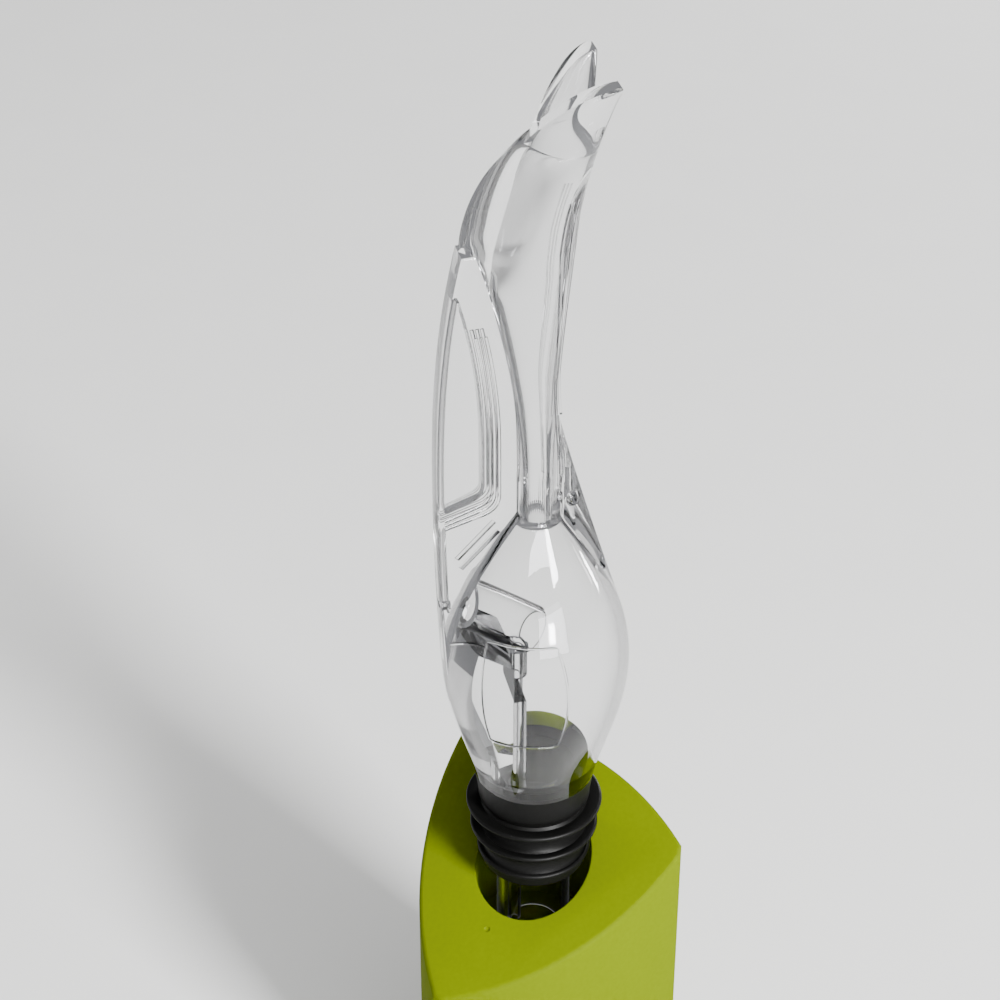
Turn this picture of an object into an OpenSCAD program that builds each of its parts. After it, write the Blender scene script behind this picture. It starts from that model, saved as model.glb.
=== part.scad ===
// Aerating wine pourer: a clear moulded body with a silicone stopper, standing in its own three-sided stand.
// The pourer's axis is Z and the table is Z = 0. The fin lies towards -X and the pouring ears towards +X.
// Heights named *_z in the pourer's sections are measured up from the rim of the stopper's top flange.

/* [Stand] */
// Distance from the axis to each corner
stand_corner = 26.3; // [25:0.1:32]
// How far each side bows outwards between its corners
stand_bow = 5.3; // [4:0.1:8]
// How much of each sharp corner is taken off
corner_blunt = 0.6; // [0.3:0.1:1.5]
// Height of the sloping top at the axis
stand_h = 62; // [52:1:80]
// Slope of the top in degrees
top_slope = 28; // [12:1:29]
// Direction of the high side, in degrees from +X
high_side = 53.5; // [0:0.5:360]
// Direction of the first corner, in degrees from +X
first_corner = 99.5; // [0:0.5:360]
// Place of the stand's middle beside the pourer's axis, in X
stand_x = -0.5; // [-1:0.1:1]
// Place of the stand's middle beside the pourer's axis, in Y
stand_y = 0.9; // [-1:0.1:1]
// Thickness of the walls and of the top
stand_wall = 2.2; // [1.6:0.1:3]
// Thickness of the socket's floor
socket_floor = 2; // [1.2:0.1:3]
// Thickness of the three ribs between the socket and the walls
rib_t = 1.8; // [1.2:0.1:3]

/* [Base] */
// Thickness of the plate that closes the stand from below
base_t = 2.4; // [1.6:0.1:4]
// Thickness of the soft pad under the plate
pad_t = 1.2; // [0.8:0.1:2]
// How far the pad stands proud of the walls
pad_proud = 0.5; // [0.3:0.1:1]
// Width of the margin between the pad's edge and the plate's edge
pad_margin = 2.5; // [1:0.1:5]

/* [Stopper] */
// How far the top flange reaches beyond the core
flange_1_reach = 2.7; // [2.2:0.05:3.4]
// How far the middle flange reaches beyond the core
flange_2_reach = 2.05; // [1.6:0.05:2.8]
// How far the bottom flange reaches beyond the core
flange_3_reach = 0.9; // [0.7:0.05:1.6]
// Distance from one flange to the next
flange_pitch = 5; // [4:0.1:6]
// Thickness of a flange at its rim
flange_rim = 0.9; // [0.6:0.1:1.4]
// Thickness of a flange at its root
flange_root = 2; // [1.4:0.1:2.8]
// How far a flange's rim sweeps up above its root
flange_sweep = 0.9; // [0.3:0.1:1.6]
// Radius of the stopper's core between the flanges
core_r = 8.6; // [8.3:0.1:8.9]
// Height of the sleeve above the top flange
sleeve_h = 6.6; // [5:0.1:9]
// Height that the bottom flange's rim is held above the stand's top at the axis
seat_rise = 4; // [4:0.1:6]

/* [Stem] */
// Outer radius of the inlet tube that goes into the bottle
stem_r = 6.2; // [5.6:0.1:6.6]
// Wall of the inlet tube
stem_wall = 1.2; // [0.8:0.1:1.6]
// Length of the inlet tube below the stopper
stem_len = 18; // [12:0.5:22]
// Length of the inlet tube's hold inside the body
stem_hold = 11; // [8:0.5:14]
// Outer radius of the air vent tube
vent_r = 1.1; // [0.9:0.05:1.4]
// Bore radius of the air vent tube
vent_bore_r = 0.6; // [0.4:0.05:0.8]
// Distance of the air vent tube behind the axis
vent_x = 3.2; // [2.8:0.1:3.6]

/* [Bulb] */
// Radius of the body at the height of the top flange
foot_r = 9.2; // [9:0.05:9.6]
// Outer radius of the body inside the stopper
spigot_r = 7.5; // [7.2:0.1:7.8]
// Largest outer radius of the bulb
bulb_r = 15; // [13.5:0.1:17]
// Height of the bulb's widest place
bulb_z = 30; // [26:0.5:34]
// Height where the bulb's shoulder meets the neck
dome_z = 58; // [54:0.5:62]
// Wall of the bulb
bulb_wall = 1.5; // [1.1:0.1:2]
// Outer radius of the air duct inside the bulb
duct_r = 4; // [3.6:0.1:4.3]
// Wall of the air duct
duct_wall = 0.8; // [0.6:0.1:1.1]
// Height of the middle of the air duct's square end
duct_z = 35; // [34:0.5:36]
// Distance of that middle behind the axis
duct_x = 0.7; // [0.4:0.1:1]
// Angle of the air duct's axis above the horizontal
duct_slope = 36; // [34:1:40]
// Length of the air duct's boss that holds the vent tube
boss_len = 5; // [4:0.5:7]
// Radius of the air inlet in the fin's back edge
inlet_r = 0.8; // [0.6:0.05:0.9]
// Height of the air inlet
inlet_z = 43; // [42.5:0.5:46]
// Half thickness of the block under the air duct that carries the vent tube
rib_half = 7; // [5:0.5:8]

/* [Spout] */
// Outer radius of the neck
neck_r = 3.9; // [3.5:0.1:4.4]
// Radius of the throat
throat_r = 1.5; // [1.2:0.1:1.8]
// Height where the throat opens into the spout
throat_z = 66; // [64:0.5:68]
// Height where the spout starts to flare
flare_z = 72; // [70:0.5:74]
// Height where the spout reaches furthest back
hood_z = 105; // [102:0.5:108]
// Distance from the axis to the hood's back
hood_reach = 12; // [11:0.1:13]
// Height where the closed hood ends and the two ears part
mouth_z = 121; // [119:0.5:123]
// Distance behind the axis where the two ears part
mouth_x = 2.4; // [1.5:0.1:3.5]
// Height of the ears' tips
tip_z = 131.6; // [129:0.2:136]
// Distance from the axis to the ears' tips
tip_x = 9.5; // [8.5:0.1:11]
// Distance from the symmetry plane to each ear's tip
tip_half = 8; // [7.2:0.1:9]
// Half width of the spout at the hood
hood_half = 5.8; // [5.2:0.1:7]
// Height where the front notch between the ears starts
notch_z = 109; // [106:0.5:112]
// Height where the passage inside the spout has widened fully
lobe_z = 98; // [95:0.5:100]
// Distance from the axis to the passage's back there
lobe_reach = 6.2; // [5.5:0.1:6.6]
// Height where the sharp valley starts that leads up from the passage to between the ears
valley_z = 104; // [102:0.5:106]
// Wall of the spout
spout_wall = 1.6; // [1.3:0.1:1.9]
// Wall of the ears at their tips
ear_wall = 2.1; // [1.8:0.1:2.4]
// Half thickness of the flat land where the two shells meet
land_half = 0.5; // [0.4:0.05:0.8]
// How far the land along the spout's front stands proud
land_proud = 0.4; // [0.2:0.05:0.6]

/* [Fin] */
// Distance from the axis to the fin's furthest back edge
fin_reach = 16; // [15.6:0.1:18]
// Height of that furthest place
fin_z = 62; // [58:0.5:66]
// Half thickness of the fin
fin_half = 2.2; // [2:0.1:2.8]
// Thickness of the fin's side walls over its chambers
fin_skin = 0.9; // [0.7:0.1:1.2]
// Width of the solid border along the fin's back edge
fin_border = 1; // [0.8:0.1:1.5]
// Height of the large chamber's floor at the fin's back
chamber_z = 60.5; // [59.5:0.5:62]
// Height of the large chamber's top
chamber_top_z = 97.5; // [94:0.5:98.5]
// Distance from the axis to the large chamber's front
chamber_x = 8.7; // [8.2:0.1:9.4]
// Width of the solid strip under the large chamber
strip_w = 4; // [3:0.1:5]
// Number of lines in the stepped frame round the large chamber
groove_n = 3; // [1:1:4]
// Distance from one of these lines to the next
groove_pitch = 0.75; // [0.6:0.05:0.9]
// Width of these lines
groove_w = 0.35; // [0.25:0.05:0.45]
// Depth of these lines
groove_deep = 0.3; // [0.15:0.05:0.5]
// Width of the slanted slot beside the bulb's shoulder
slot_w = 1.2; // [0.8:0.1:1.6]
// Height of the slot's upper end
slot_top_z = 56.8; // [56:0.1:57.2]
// Height of the slot's lower end
slot_low_z = 50.6; // [49.5:0.1:52]
// Distance from the bulb's shoulder out to the slot's upper end
slot_top_out = 2; // [1.6:0.1:2.4]
// Distance from the bulb's shoulder out to the slot's lower end
slot_low_out = 4.2; // [3.6:0.1:4.6]
// Half thickness of the web in front of the neck
web_half = 1.8; // [1.2:0.1:2.4]
// Height of the web's top
web_top_z = 76.5; // [74:0.5:79]
// Height of the web's foot on the bulb
web_foot_z = 40; // [38:0.5:44]

/* [Hidden] */
$fn = 72;
// Clearance between pieces that fit inside one another
fit = 0.05;
// Clearance between the pourer and the stand
seat_gap = 0.3;
// How far a cutting solid runs past what it cuts
over = 0.4;
clear_colour = [0.90, 0.93, 0.95, 0.45];
green = [0.66, 0.76, 0.03];
graphite = [0.16, 0.16, 0.17];

// Stand, worked out from its driving sizes
flange_1_r = core_r + flange_1_reach;
flange_2_r = core_r + flange_2_reach;
flange_3_r = core_r + flange_3_reach;
socket_r = flange_3_r + seat_gap;
side_mid = stand_corner / 2 + stand_bow;
side_r = (pow(stand_corner * sqrt(3) / 2, 2) + pow(stand_bow, 2)) / (2 * stand_bow);
walls_z = pad_proud;
tall = stand_h + stand_corner;
// Pourer's heights in the part's frame
rim_z = stand_h + seat_rise + 2 * flange_pitch;
stopper_foot = -2 * flange_pitch - flange_rim / 2 - flange_sweep;
stem_foot = stopper_foot - stem_len;
socket_z = rim_z + stem_foot - seat_gap;
// Wine chamber: its floor's step above the sleeve, the height over which it widens, and its nearly flat top
cavity_step = 0.8;
cavity_flare = 3;
dome_drop = 1.5;
dome_rise = 0.6;
cavity_z = sleeve_h + cavity_step;
boss_wall = 0.7;
boss_r = vent_r + boss_wall;
// How far the vent tube's foot stays above the inlet tube's foot
vent_rise = 3;
// Lowest place of the duct's square end, where the vent tube hangs
lip_x = duct_x + duct_r * sin(duct_slope);
lip_z = duct_z - duct_r * cos(duct_slope);
boss_foot = lip_z - boss_len;
// Step between the neck's ring and the spout that grows out of it
collar = 0.12;
// Fineness of the curves
curve_n = 16;
loft_n = 12;

function ease(t) = (1 - cos(180 * t)) / 2;
function mix(a, b, t) = a + (b - a) * t;

// Share of the way from one height to another
function share(z, from, to) = max(0, min(1, (z - from) / (to - from)));

// Outside of the bulb: one cosine sweep up from the foot and one in to the neck
function bulb_at(z) = z < bulb_z
    ? mix(foot_r, bulb_r, ease(share(z, 0, bulb_z)))
    : mix(neck_r, bulb_r, cos(90 * share(z, bulb_z, dome_z)));

// Powers that shape the curves of the spout's outside, its rims, the fin, the passage and the web
flare_power = 2;
hood_fall = 1.8;
hood_round = 0.62;
rim_power = 1.7;
front_power = 1.3;
ear_power = 4;
gap_power = 1.2;
notch_power = 1.6;
fin_power = 2.6;
lobe_power = 1.6;
valley_power = 1.2;
web_power = 1.1;
head_power = 1.5;
land_fade = 4;
// How far an ear's tip bows out between its edges
tip_crown = 0.25;
// Height over which the hood's keel sharpens, and the passage's valley
keel_run = 20;
valley_run = 2;
keel_z = hood_z - keel_run;
// Narrowest place of the spout's front
waist_rise = 10;
waist_in = 0.9;
waist_z = flare_z + waist_rise;
waist_x = neck_r - waist_in;

// Back, front and half width of the spout's section at a height
function spout_back(z) =
    z < hood_z ? -mix(neck_r, hood_reach, pow(share(z, flare_z, hood_z), flare_power))
    : z < mouth_z ? -mix(mouth_x, hood_reach, pow(1 - pow(share(z, hood_z, mouth_z), hood_fall), hood_round))
    : mix(-mouth_x, tip_x - land_half, 1 - pow(1 - share(z, mouth_z, tip_z), 1 / rim_power));
function spout_front(z) = z < waist_z
    ? mix(neck_r, waist_x, ease(share(z, throat_z, waist_z)))
    : mix(waist_x, tip_x, pow(share(z, waist_z, tip_z), front_power));
function spout_half(z) = z < hood_z
    ? mix(neck_r, hood_half, ease(share(z, flare_z, hood_z)))
    : mix(hood_half, tip_half + tip_crown, pow(share(z, hood_z, tip_z), ear_power));
// How pointed a section is at its back: round in the flare, a sharp keel from the hood on
function keel(z) = ease(share(z, keel_z, hood_z));
// The same for the passage: round up to its valley, which is sharp from its start
function valley(z) = ease(share(z, lobe_z, valley_z + valley_run));
// Back of the passage: it widens, stays wide and then runs up in the valley to where the ears part
function passage_back(z) = z < valley_z
    ? -mix(throat_r, lobe_reach, pow(share(z, throat_z, lobe_z), lobe_power))
    : -mix(lobe_reach, mouth_x - spout_wall, pow(share(z, valley_z, mouth_z), valley_power));
// Distance of the rims from the symmetry plane, behind and in front
function back_gap(z) = tip_half * pow(share(z, mouth_z, tip_z), gap_power);
function front_gap(z) = tip_half * pow(share(z, notch_z, tip_z), notch_power);
// Wall of the spout: thicker round the throat
function wall_at(z) = z < mouth_z
    ? mix(neck_r - throat_r, spout_wall, ease(share(z, throat_z, waist_z)))
    : mix(spout_wall, ear_wall, share(z, mouth_z, tip_z));
function back_wall_at(z) = z < mouth_z ? passage_back(z) - spout_back(z) : wall_at(z);

// Heights of the loft's sections, closer together where the hood closes over
function spout_levels() = concat(
    [for (i = [0 : loft_n]) mix(throat_z, hood_z, i / loft_n)],
    [for (a = [15 : 15 : 90]) mix(hood_z, mouth_z, sin(a))],
    [for (i = [1 : 8]) mix(mouth_z, tip_z, 1 - pow(1 - i / 8, rim_power))]);

// Line from one end of a section to the other over a middle half width.
// Each end is round at 0 and pointed at 1.
function bowed(from, to, mid_y, from_point, to_point) = [for (i = [0 : loft_n])
    let (u = i / loft_n, along = mix(ease(u), u, mix(from_point, to_point, u)))
    [mix(from.x, to.x, along), mix(from.y, to.y, u) + (mid_y - (from.y + to.y) / 2) * sin(180 * u)]];
// One section of a half spout: the outside from back to front, then the inside from front to back.
// Where the rims part, the inside's ends lie straight behind the outside's ends.
function rim_inside(x, gap, w, way) = gap < w ? [x + way * (w - gap), 0] : [x, gap - w];
function spout_section(z) =
    let (w = wall_at(z), half = spout_half(z), gb = back_gap(z), gf = front_gap(z),
         back = spout_back(z), front = spout_front(z))
    [for (p = concat(bowed([back, gb], [front, gf], half, keel(z), 0),
                     bowed(rim_inside(front, gf, w, -1), rim_inside(back, gb, back_wall_at(z), 1), half - w,
                           0, valley(z))))
        [p.x, p.y, z]];

// Solid through a row of sections with the same number of points
module loft(rings) {
    n = len(rings[0]);
    m = len(rings);
    sides = [for (j = [0 : m - 2], i = [0 : n - 1])
        let (k = (i + 1) % n)
        each [[j * n + i, j * n + k, (j + 1) * n + k], [j * n + i, (j + 1) * n + k, (j + 1) * n + i]]];
    // Each end is closed by strips between the section's outside and its inside
    floor_cap = [for (i = [0 : n / 2 - 2]) each [[i, n - 1 - i, n - 2 - i], [i, n - 2 - i, i + 1]]];
    t = (m - 1) * n;
    top_cap = [for (i = [0 : n / 2 - 2])
        each [[t + i, t + n - 2 - i, t + n - 1 - i], [t + i, t + i + 1, t + n - 2 - i]]];
    polyhedron(points = [for (r = rings) each r], faces = concat(sides, floor_cap, top_cap));
}

module spout() {
    loft([for (z = spout_levels()) spout_section(z)]);
}

// Upright plate in the symmetry plane, drawn as [x, z] points, from the plane out to a half thickness
module plate(points, from, to) {
    translate([0, to, 0])
        rotate([90, 0, 0])
            linear_extrude(to - from) polygon(points);
}

function fin_back(z) = z > fin_z
    ? -mix(fin_reach, hood_reach, pow(share(z, fin_z, hood_z), fin_power))
    : -mix(bulb_r, fin_reach, 1 - pow(1 - share(z, bulb_z, fin_z), 2));

// Front of the fin: inside the wall of the spout, the neck and the bulb
fin_root = 1.3;
fin_head_root = 4;
head_z = hood_z - 15;
function fin_root_at(z) = mix(fin_root, fin_head_root, pow(share(z, head_z, hood_z), head_power));
function fin_front(z) = z > throat_z
    ? spout_back(z) + fin_root_at(z)
    : -max(neck_r - fin_root, bulb_at(z) - bulb_wall / 2);

module fin_plate() {
    plate(concat(
        [for (i = [0 : curve_n]) let (z = mix(bulb_z, hood_z, i / curve_n)) [fin_back(z), z]],
        [for (i = [curve_n : -1 : 0]) let (z = mix(bulb_z, hood_z, i / curve_n)) [fin_front(z), z]]),
        0, fin_half);
}

function web_front(z) = mix(waist_x, bulb_at(web_foot_z), pow(share(z, web_top_z, web_foot_z), web_power));

function web_back(z) = z > throat_z
    ? spout_front(z) - fin_root
    : max(neck_r - fin_root, bulb_at(z) - bulb_wall / 2);

// Upright plate on the spout's front or the bulb's, from a row of edge places back to its root in the wall
module front_plate(edge, half) {
    plate(concat(edge, [for (i = [len(edge) - 1 : -1 : 0]) [web_back(edge[i].y), edge[i].y]]), 0, half);
}

module web_plate() {
    front_plate([for (i = [0 : curve_n]) let (z = mix(web_foot_z, web_top_z, i / curve_n)) [web_front(z), z]],
                web_half);
}

// Flat land where the two shells meet, along the spout's front from the web up to the notch, where it fades
module front_land() {
    front_plate([for (i = [0 : curve_n]) let (t = i / curve_n, z = mix(web_top_z - fin_root, notch_z, t))
                    [spout_front(z) + land_proud * (1 - pow(t, land_fade)), z]],
                land_half);
}

// Large chamber of the fin: a long D with its straight side along the back edge
chamber_rise = 2.5;
chamber_tip = 0.4;
chamber_bend_z = fin_z + 10;
chamber_sweep = -fin_back(chamber_top_z) - fin_border - chamber_x - chamber_tip;
function chamber_front(z) = -chamber_x - chamber_sweep * pow(share(z, chamber_bend_z, chamber_top_z), 2);

module fin_chamber() {
    plate(concat(
        [for (i = [0 : curve_n]) let (z = mix(chamber_z, chamber_top_z, i / curve_n))
            [fin_back(z) + fin_border, z]],
        [for (i = [curve_n : -1 : 0]) let (z = mix(chamber_z + chamber_rise, chamber_top_z, i / curve_n))
            [chamber_front(z), z]]),
        -over, fin_half - fin_skin);
}

// Lines of the stepped frame below and in front of the large chamber, at a distance from it
groove_top_z = chamber_top_z - 6;
function frame_line(d) = concat(
    [[fin_back(chamber_z - d) + fin_border, chamber_z - d]],
    [for (i = [0 : curve_n]) let (z = mix(chamber_z + chamber_rise, groove_top_z, i / curve_n))
        [chamber_front(z) + d, i == 0 ? z - d : z]]);

module frame_groove(d) {
    there = frame_line(d);
    back = frame_line(d + groove_w);
    plate(concat(there, [for (i = [len(back) - 1 : -1 : 0]) back[i]]),
          fin_half - groove_deep, fin_half + over);
}

module frame_grooves() {
    for (d = [groove_pitch : groove_pitch : groove_pitch * groove_n]) frame_groove(d);
}

// Slanted slot with round ends, cut into the fin's face along the bulb's shoulder
module shoulder_slot() {
    top = [-bulb_at(slot_top_z) - slot_top_out, slot_top_z];
    low = [-bulb_at(slot_low_z) - slot_low_out, slot_low_z];
    run = low - top;
    translate([top.x, fin_half - groove_deep, top.y])
        rotate([0, -atan2(run.y, run.x), 0]) {
            translate([0, 0, -slot_w / 2]) cube([norm(run), groove_deep + over, slot_w]);
            for (x = [0, norm(run)])
                translate([x, 0, 0]) rotate([-90, 0, 0]) cylinder(d = slot_w, h = groove_deep + over);
        }
}

// Small chamber under the strip, between the fin's back edge and the bulb's shoulder
air_low_z = bulb_z + 12;
air_wall = 0.6;
air_least = 0.3;
air_tilt = 1;
module air_chamber() {
    top = chamber_z - strip_w;
    low = air_low_z;
    steps = 6;
    plate(concat(
        [for (i = [0 : steps]) let (z = mix(low, top, i / steps)) [fin_back(z) + fin_border, z]],
        [for (i = [steps : -1 : 0]) let (z = mix(low, top + air_tilt, i / steps))
            [min(-bulb_at(z) - air_wall, fin_back(z) + fin_border + air_least), z]]),
        -over, fin_half - fin_skin);
}

module bulb_outside() {
    rotate_extrude(angle = 180)
        polygon(concat(
            [[0, stopper_foot], [spigot_r, stopper_foot], [spigot_r, sleeve_h]],
            [for (i = [0 : curve_n]) let (z = mix(sleeve_h, dome_z, i / curve_n)) [bulb_at(z), z]],
            [[neck_r + collar, dome_z], [neck_r + collar, throat_z], [0, throat_z]]));
}

// Wine chamber, throat and the seat of the inlet tube
function cavity_at(z) = max(throat_r - collar, bulb_at(z) - bulb_wall);
module bulb_inside() {
    shoulder = cavity_z + cavity_flare;
    top = dome_z - dome_drop;
    rotate_extrude()
        polygon(concat(
            [[0, stopper_foot - over], [stem_r + fit, stopper_foot - over],
             [stem_r + fit, stopper_foot + stem_hold], [stem_r - stem_wall, stopper_foot + stem_hold],
             [stem_r - stem_wall, cavity_z]],
            [for (i = [0 : curve_n]) let (z = mix(shoulder, top, i / curve_n)) [cavity_at(z), z]],
            [[throat_r - collar, top + dome_rise],
             [throat_r - collar, throat_z + over], [0, throat_z + over]]));
}

// Place of the duct's square end, with Z along the duct towards the fin
module duct_frame() {
    translate([-duct_x, 0, duct_z]) rotate([0, duct_slope - 90, 0]) children();
}

// Way of the air: in at the fin's back edge, and from the small chamber through the bulb's wall into the duct
hole_margin = 0.2;
air_way = (inlet_z - duct_z) / sin(duct_slope) + hole_margin;
module air_hole() {
    duct_frame() cylinder(r = fin_half - fin_skin - hole_margin, h = air_way);
    translate([-fin_reach - over, 0, inlet_z])
        rotate([0, 90, 0]) cylinder(r = inlet_r, h = 2 * fin_border + over);
}

// Thick rib between the duct and the bulb's foot. The vent tube lies in the groove of its edge.
rib_gap = 0.15;
function under_duct(x) = lip_z + (-lip_x - x) * tan(duct_slope) - rib_gap / cos(duct_slope);
module inner_rib() {
    side = -vent_x - boss_r - rib_gap;
    far = -cavity_at(bulb_z);
    difference() {
        intersection() {
            plate([[-vent_x, cavity_z], [-vent_x, boss_foot - rib_gap], [side, boss_foot - rib_gap],
                   [side, under_duct(side)], [far, under_duct(far)], [far, cavity_z]], 0, rib_half);
            bulb_outside();
        }
        translate([-vent_x, 0, 0]) cylinder(r = vent_r + fit, h = duct_z);
    }
}

module half_shell() {
    difference() {
        union() {
            difference() {
                bulb_outside();
                bulb_inside();
            }
            spout();
            difference() {
                fin_plate();
                fin_chamber();
                air_chamber();
                frame_grooves();
                shoulder_slot();
            }
            web_plate();
            front_land();
            inner_rib();
        }
        air_hole();
    }
}

module far_shell() {
    color(clear_colour) translate([0, 0, rim_z]) half_shell();
}

module near_shell() {
    color(clear_colour) translate([0, 0, rim_z]) mirror([0, 1, 0]) half_shell();
}

// Sloping tube from the bulb's inner wall to its square end, with a boss below it for the vent tube
module air_duct() {
    low = boss_foot;
    high = dome_z - dome_drop;
    color(clear_colour) translate([0, 0, rim_z])
        intersection() {
            difference() {
                union() {
                    duct_frame() cylinder(r = duct_r, h = bulb_r + duct_r);
                    translate([-vent_x, 0, boss_foot]) cylinder(r = boss_r, h = boss_len + duct_wall);
                }
                duct_frame() translate([0, 0, -over])
                    cylinder(r = duct_r - duct_wall, h = bulb_r + 2 * duct_r);
                translate([-vent_x, 0, boss_foot - over])
                    cylinder(r = vent_r + fit, h = boss_len + 2 * duct_wall);
            }
            rotate_extrude()
                polygon(concat(
                    [[0, low]],
                    [for (i = [0 : curve_n]) let (z = mix(low, high, i / curve_n)) [cavity_at(z) - fit, z]],
                    [[0, high]]));
        }
}

module vent_tube() {
    foot = stem_foot + vent_rise;
    color(clear_colour) translate([-vent_x, 0, rim_z + foot])
        difference() {
            cylinder(r = vent_r, h = lip_z - foot);
            translate([0, 0, -over]) cylinder(r = vent_bore_r, h = lip_z - foot + 2 * over);
        }
}

module stem() {
    color(clear_colour) translate([0, 0, rim_z + stem_foot])
        difference() {
            cylinder(r = stem_r, h = stem_len + stem_hold - fit);
            translate([0, 0, -over]) cylinder(r = stem_r - stem_wall, h = stem_len + stem_hold + 2 * over);
        }
}

// Half profile of one flange, its rim swept up from its root
function flange(r, z) = [
    [core_r, z - flange_sweep - flange_root / 2],
    [r - flange_rim / 2, z - flange_rim / 2],
    [r, z - flange_rim / 6],
    [r, z + flange_rim / 6],
    [r - flange_rim / 2, z + flange_rim / 2],
    [core_r, z - flange_sweep + flange_root / 2]];

module stopper() {
    color(graphite) translate([0, 0, rim_z])
        rotate_extrude()
            polygon(concat(
                [[spigot_r + fit, sleeve_h], [spigot_r + fit, stopper_foot], [core_r, stopper_foot]],
                flange(flange_3_r, -2 * flange_pitch),
                flange(flange_2_r, -flange_pitch),
                flange(flange_1_r, 0),
                [for (i = [0 : 4]) let (z = mix(flange_root / 2, sleeve_h, i / 4)) [bulb_at(z), z]]));
}

// Plan of the three-sided column with bowed sides, drawn in from the outside by an inset
module plan(inset) {
    intersection() {
        side_circle(0, inset);
        side_circle(1, inset);
        side_circle(2, inset);
        circle(r = stand_corner - corner_blunt - 2 * inset);
    }
}

module side_circle(i, inset) {
    rotate(first_corner + 60 + 120 * i) translate([side_mid - side_r, 0]) circle(r = side_r - inset);
}

module column(inset, from, to) {
    translate([stand_x, stand_y, from]) linear_extrude(to - from) plan(inset);
}

module for_side(i) {
    rotate([0, 0, first_corner + 120 * i]) children();
}

// Everything above the sloping top, lowered by a drop
module above_top(drop) {
    translate([0, 0, stand_h - drop])
        rotate([0, 0, high_side]) rotate([0, -top_slope, 0])
            translate([-2 * tall, -2 * tall, 0]) cube([4 * tall, 4 * tall, 2 * tall]);
}

module stand_shell() {
    tube_r = socket_r + stand_wall;
    color(green)
        difference() {
            union() {
                difference() {
                    column(0, walls_z, tall);
                    above_top(0);
                    difference() {
                        column(stand_wall, walls_z - over, tall);
                        above_top(stand_wall / cos(top_slope));
                    }
                }
                difference() {
                    union() {
                        translate([0, 0, socket_z - socket_floor]) cylinder(r = tube_r, h = tall - socket_z);
                        intersection() {
                            column(stand_wall / 2, walls_z, tall);
                            for (i = [0 : 2]) for_side(i)
                                translate([0, -rib_t / 2, socket_z - socket_floor])
                                    cube([stand_corner, rib_t, tall - socket_z]);
                        }
                    }
                    above_top(stand_wall / 2);
                }
            }
            translate([0, 0, socket_z]) cylinder(r = socket_r, h = tall);
        }
}

module stand_base() {
    color(green) column(stand_wall + fit, walls_z + pad_t - pad_proud, walls_z + pad_t - pad_proud + base_t);
}

module foot_pad() {
    color(graphite) column(stand_wall + pad_margin, 0, pad_t);
}

near_shell();
far_shell();
air_duct();
vent_tube();
stem();
stopper();
stand_shell();
stand_base();
foot_pad();
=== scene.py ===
"""Dresses the aerating wine pourer and its three-sided stand, and sets up the studio around them."""
import logging
import math
from dataclasses import dataclass
from enum import Enum
from typing import Iterable, Sequence

import bmesh
import bpy
from mathutils import Matrix, Vector


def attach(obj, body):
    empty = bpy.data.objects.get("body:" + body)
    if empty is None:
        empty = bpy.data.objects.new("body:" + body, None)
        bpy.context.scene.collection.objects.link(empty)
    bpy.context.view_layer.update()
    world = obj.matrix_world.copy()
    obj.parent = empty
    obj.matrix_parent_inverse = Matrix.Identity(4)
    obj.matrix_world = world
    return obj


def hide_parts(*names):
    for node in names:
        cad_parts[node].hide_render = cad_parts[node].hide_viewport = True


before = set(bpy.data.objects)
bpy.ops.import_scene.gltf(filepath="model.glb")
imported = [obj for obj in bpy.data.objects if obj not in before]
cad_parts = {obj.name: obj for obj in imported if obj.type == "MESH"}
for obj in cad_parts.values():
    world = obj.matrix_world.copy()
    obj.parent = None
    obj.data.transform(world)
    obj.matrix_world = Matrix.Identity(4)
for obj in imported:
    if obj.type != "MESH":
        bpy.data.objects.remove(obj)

LOG = logging.getLogger("pourer")
MM = 0.001
# tolerances in millimetres: points that are one, lines that are flat, and scraps of a cut
WELD = 1e-5
FLAT = 1e-6
SCRAP = 1e-4
BALL_N = 16
Mesh = bmesh.types.BMesh
Point = tuple[float, float, float]
Pair = tuple[float, float]
Profile = Sequence[Pair]
Colour = tuple[float, float, float, float]


class Body(Enum):
    """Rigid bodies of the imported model."""

    STAND = "stand"
    POURER = "pourer"


class Cut(Enum):
    """Ways in which one solid works on another."""

    JOIN = "UNION"
    REMOVE = "DIFFERENCE"
    KEEP = "INTERSECT"


def mix(a: float, b: float, t: float) -> float:
    """Value part of the way from a to b."""
    return a + (b - a) * t


def ease(t: float) -> float:
    """Cosine sweep from 0 to 1."""
    return (1.0 - math.cos(math.pi * t)) / 2.0


def share(z: float, low: float, high: float) -> float:
    """Share of the way from one height to another, held between 0 and 1."""
    return max(0.0, min(1.0, (z - low) / (high - low)))


def steps(low: float, high: float, count: int) -> list[float]:
    """Evenly spaced values from low to high, both included."""
    return [mix(low, high, i / count) for i in range(count + 1)]


def bend(start: Pair, corner: Pair, end: Pair,
         count: int = 8) -> list[Pair]:
    """Smooth bend between two places, drawn towards a corner.

    Args:
        start: where the bend leaves the first line.
        corner: where the two lines would meet.
        end: where the bend joins the second line.
        count: number of steps.

    Returns:
        Points of the bend, both ends included.
    """
    row = []
    for t in steps(0.0, 1.0, count):
        row.append(tuple(mix(mix(a, b, t), mix(b, c, t), t) for a, b, c in zip(start, corner, end)))
    return row


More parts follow.
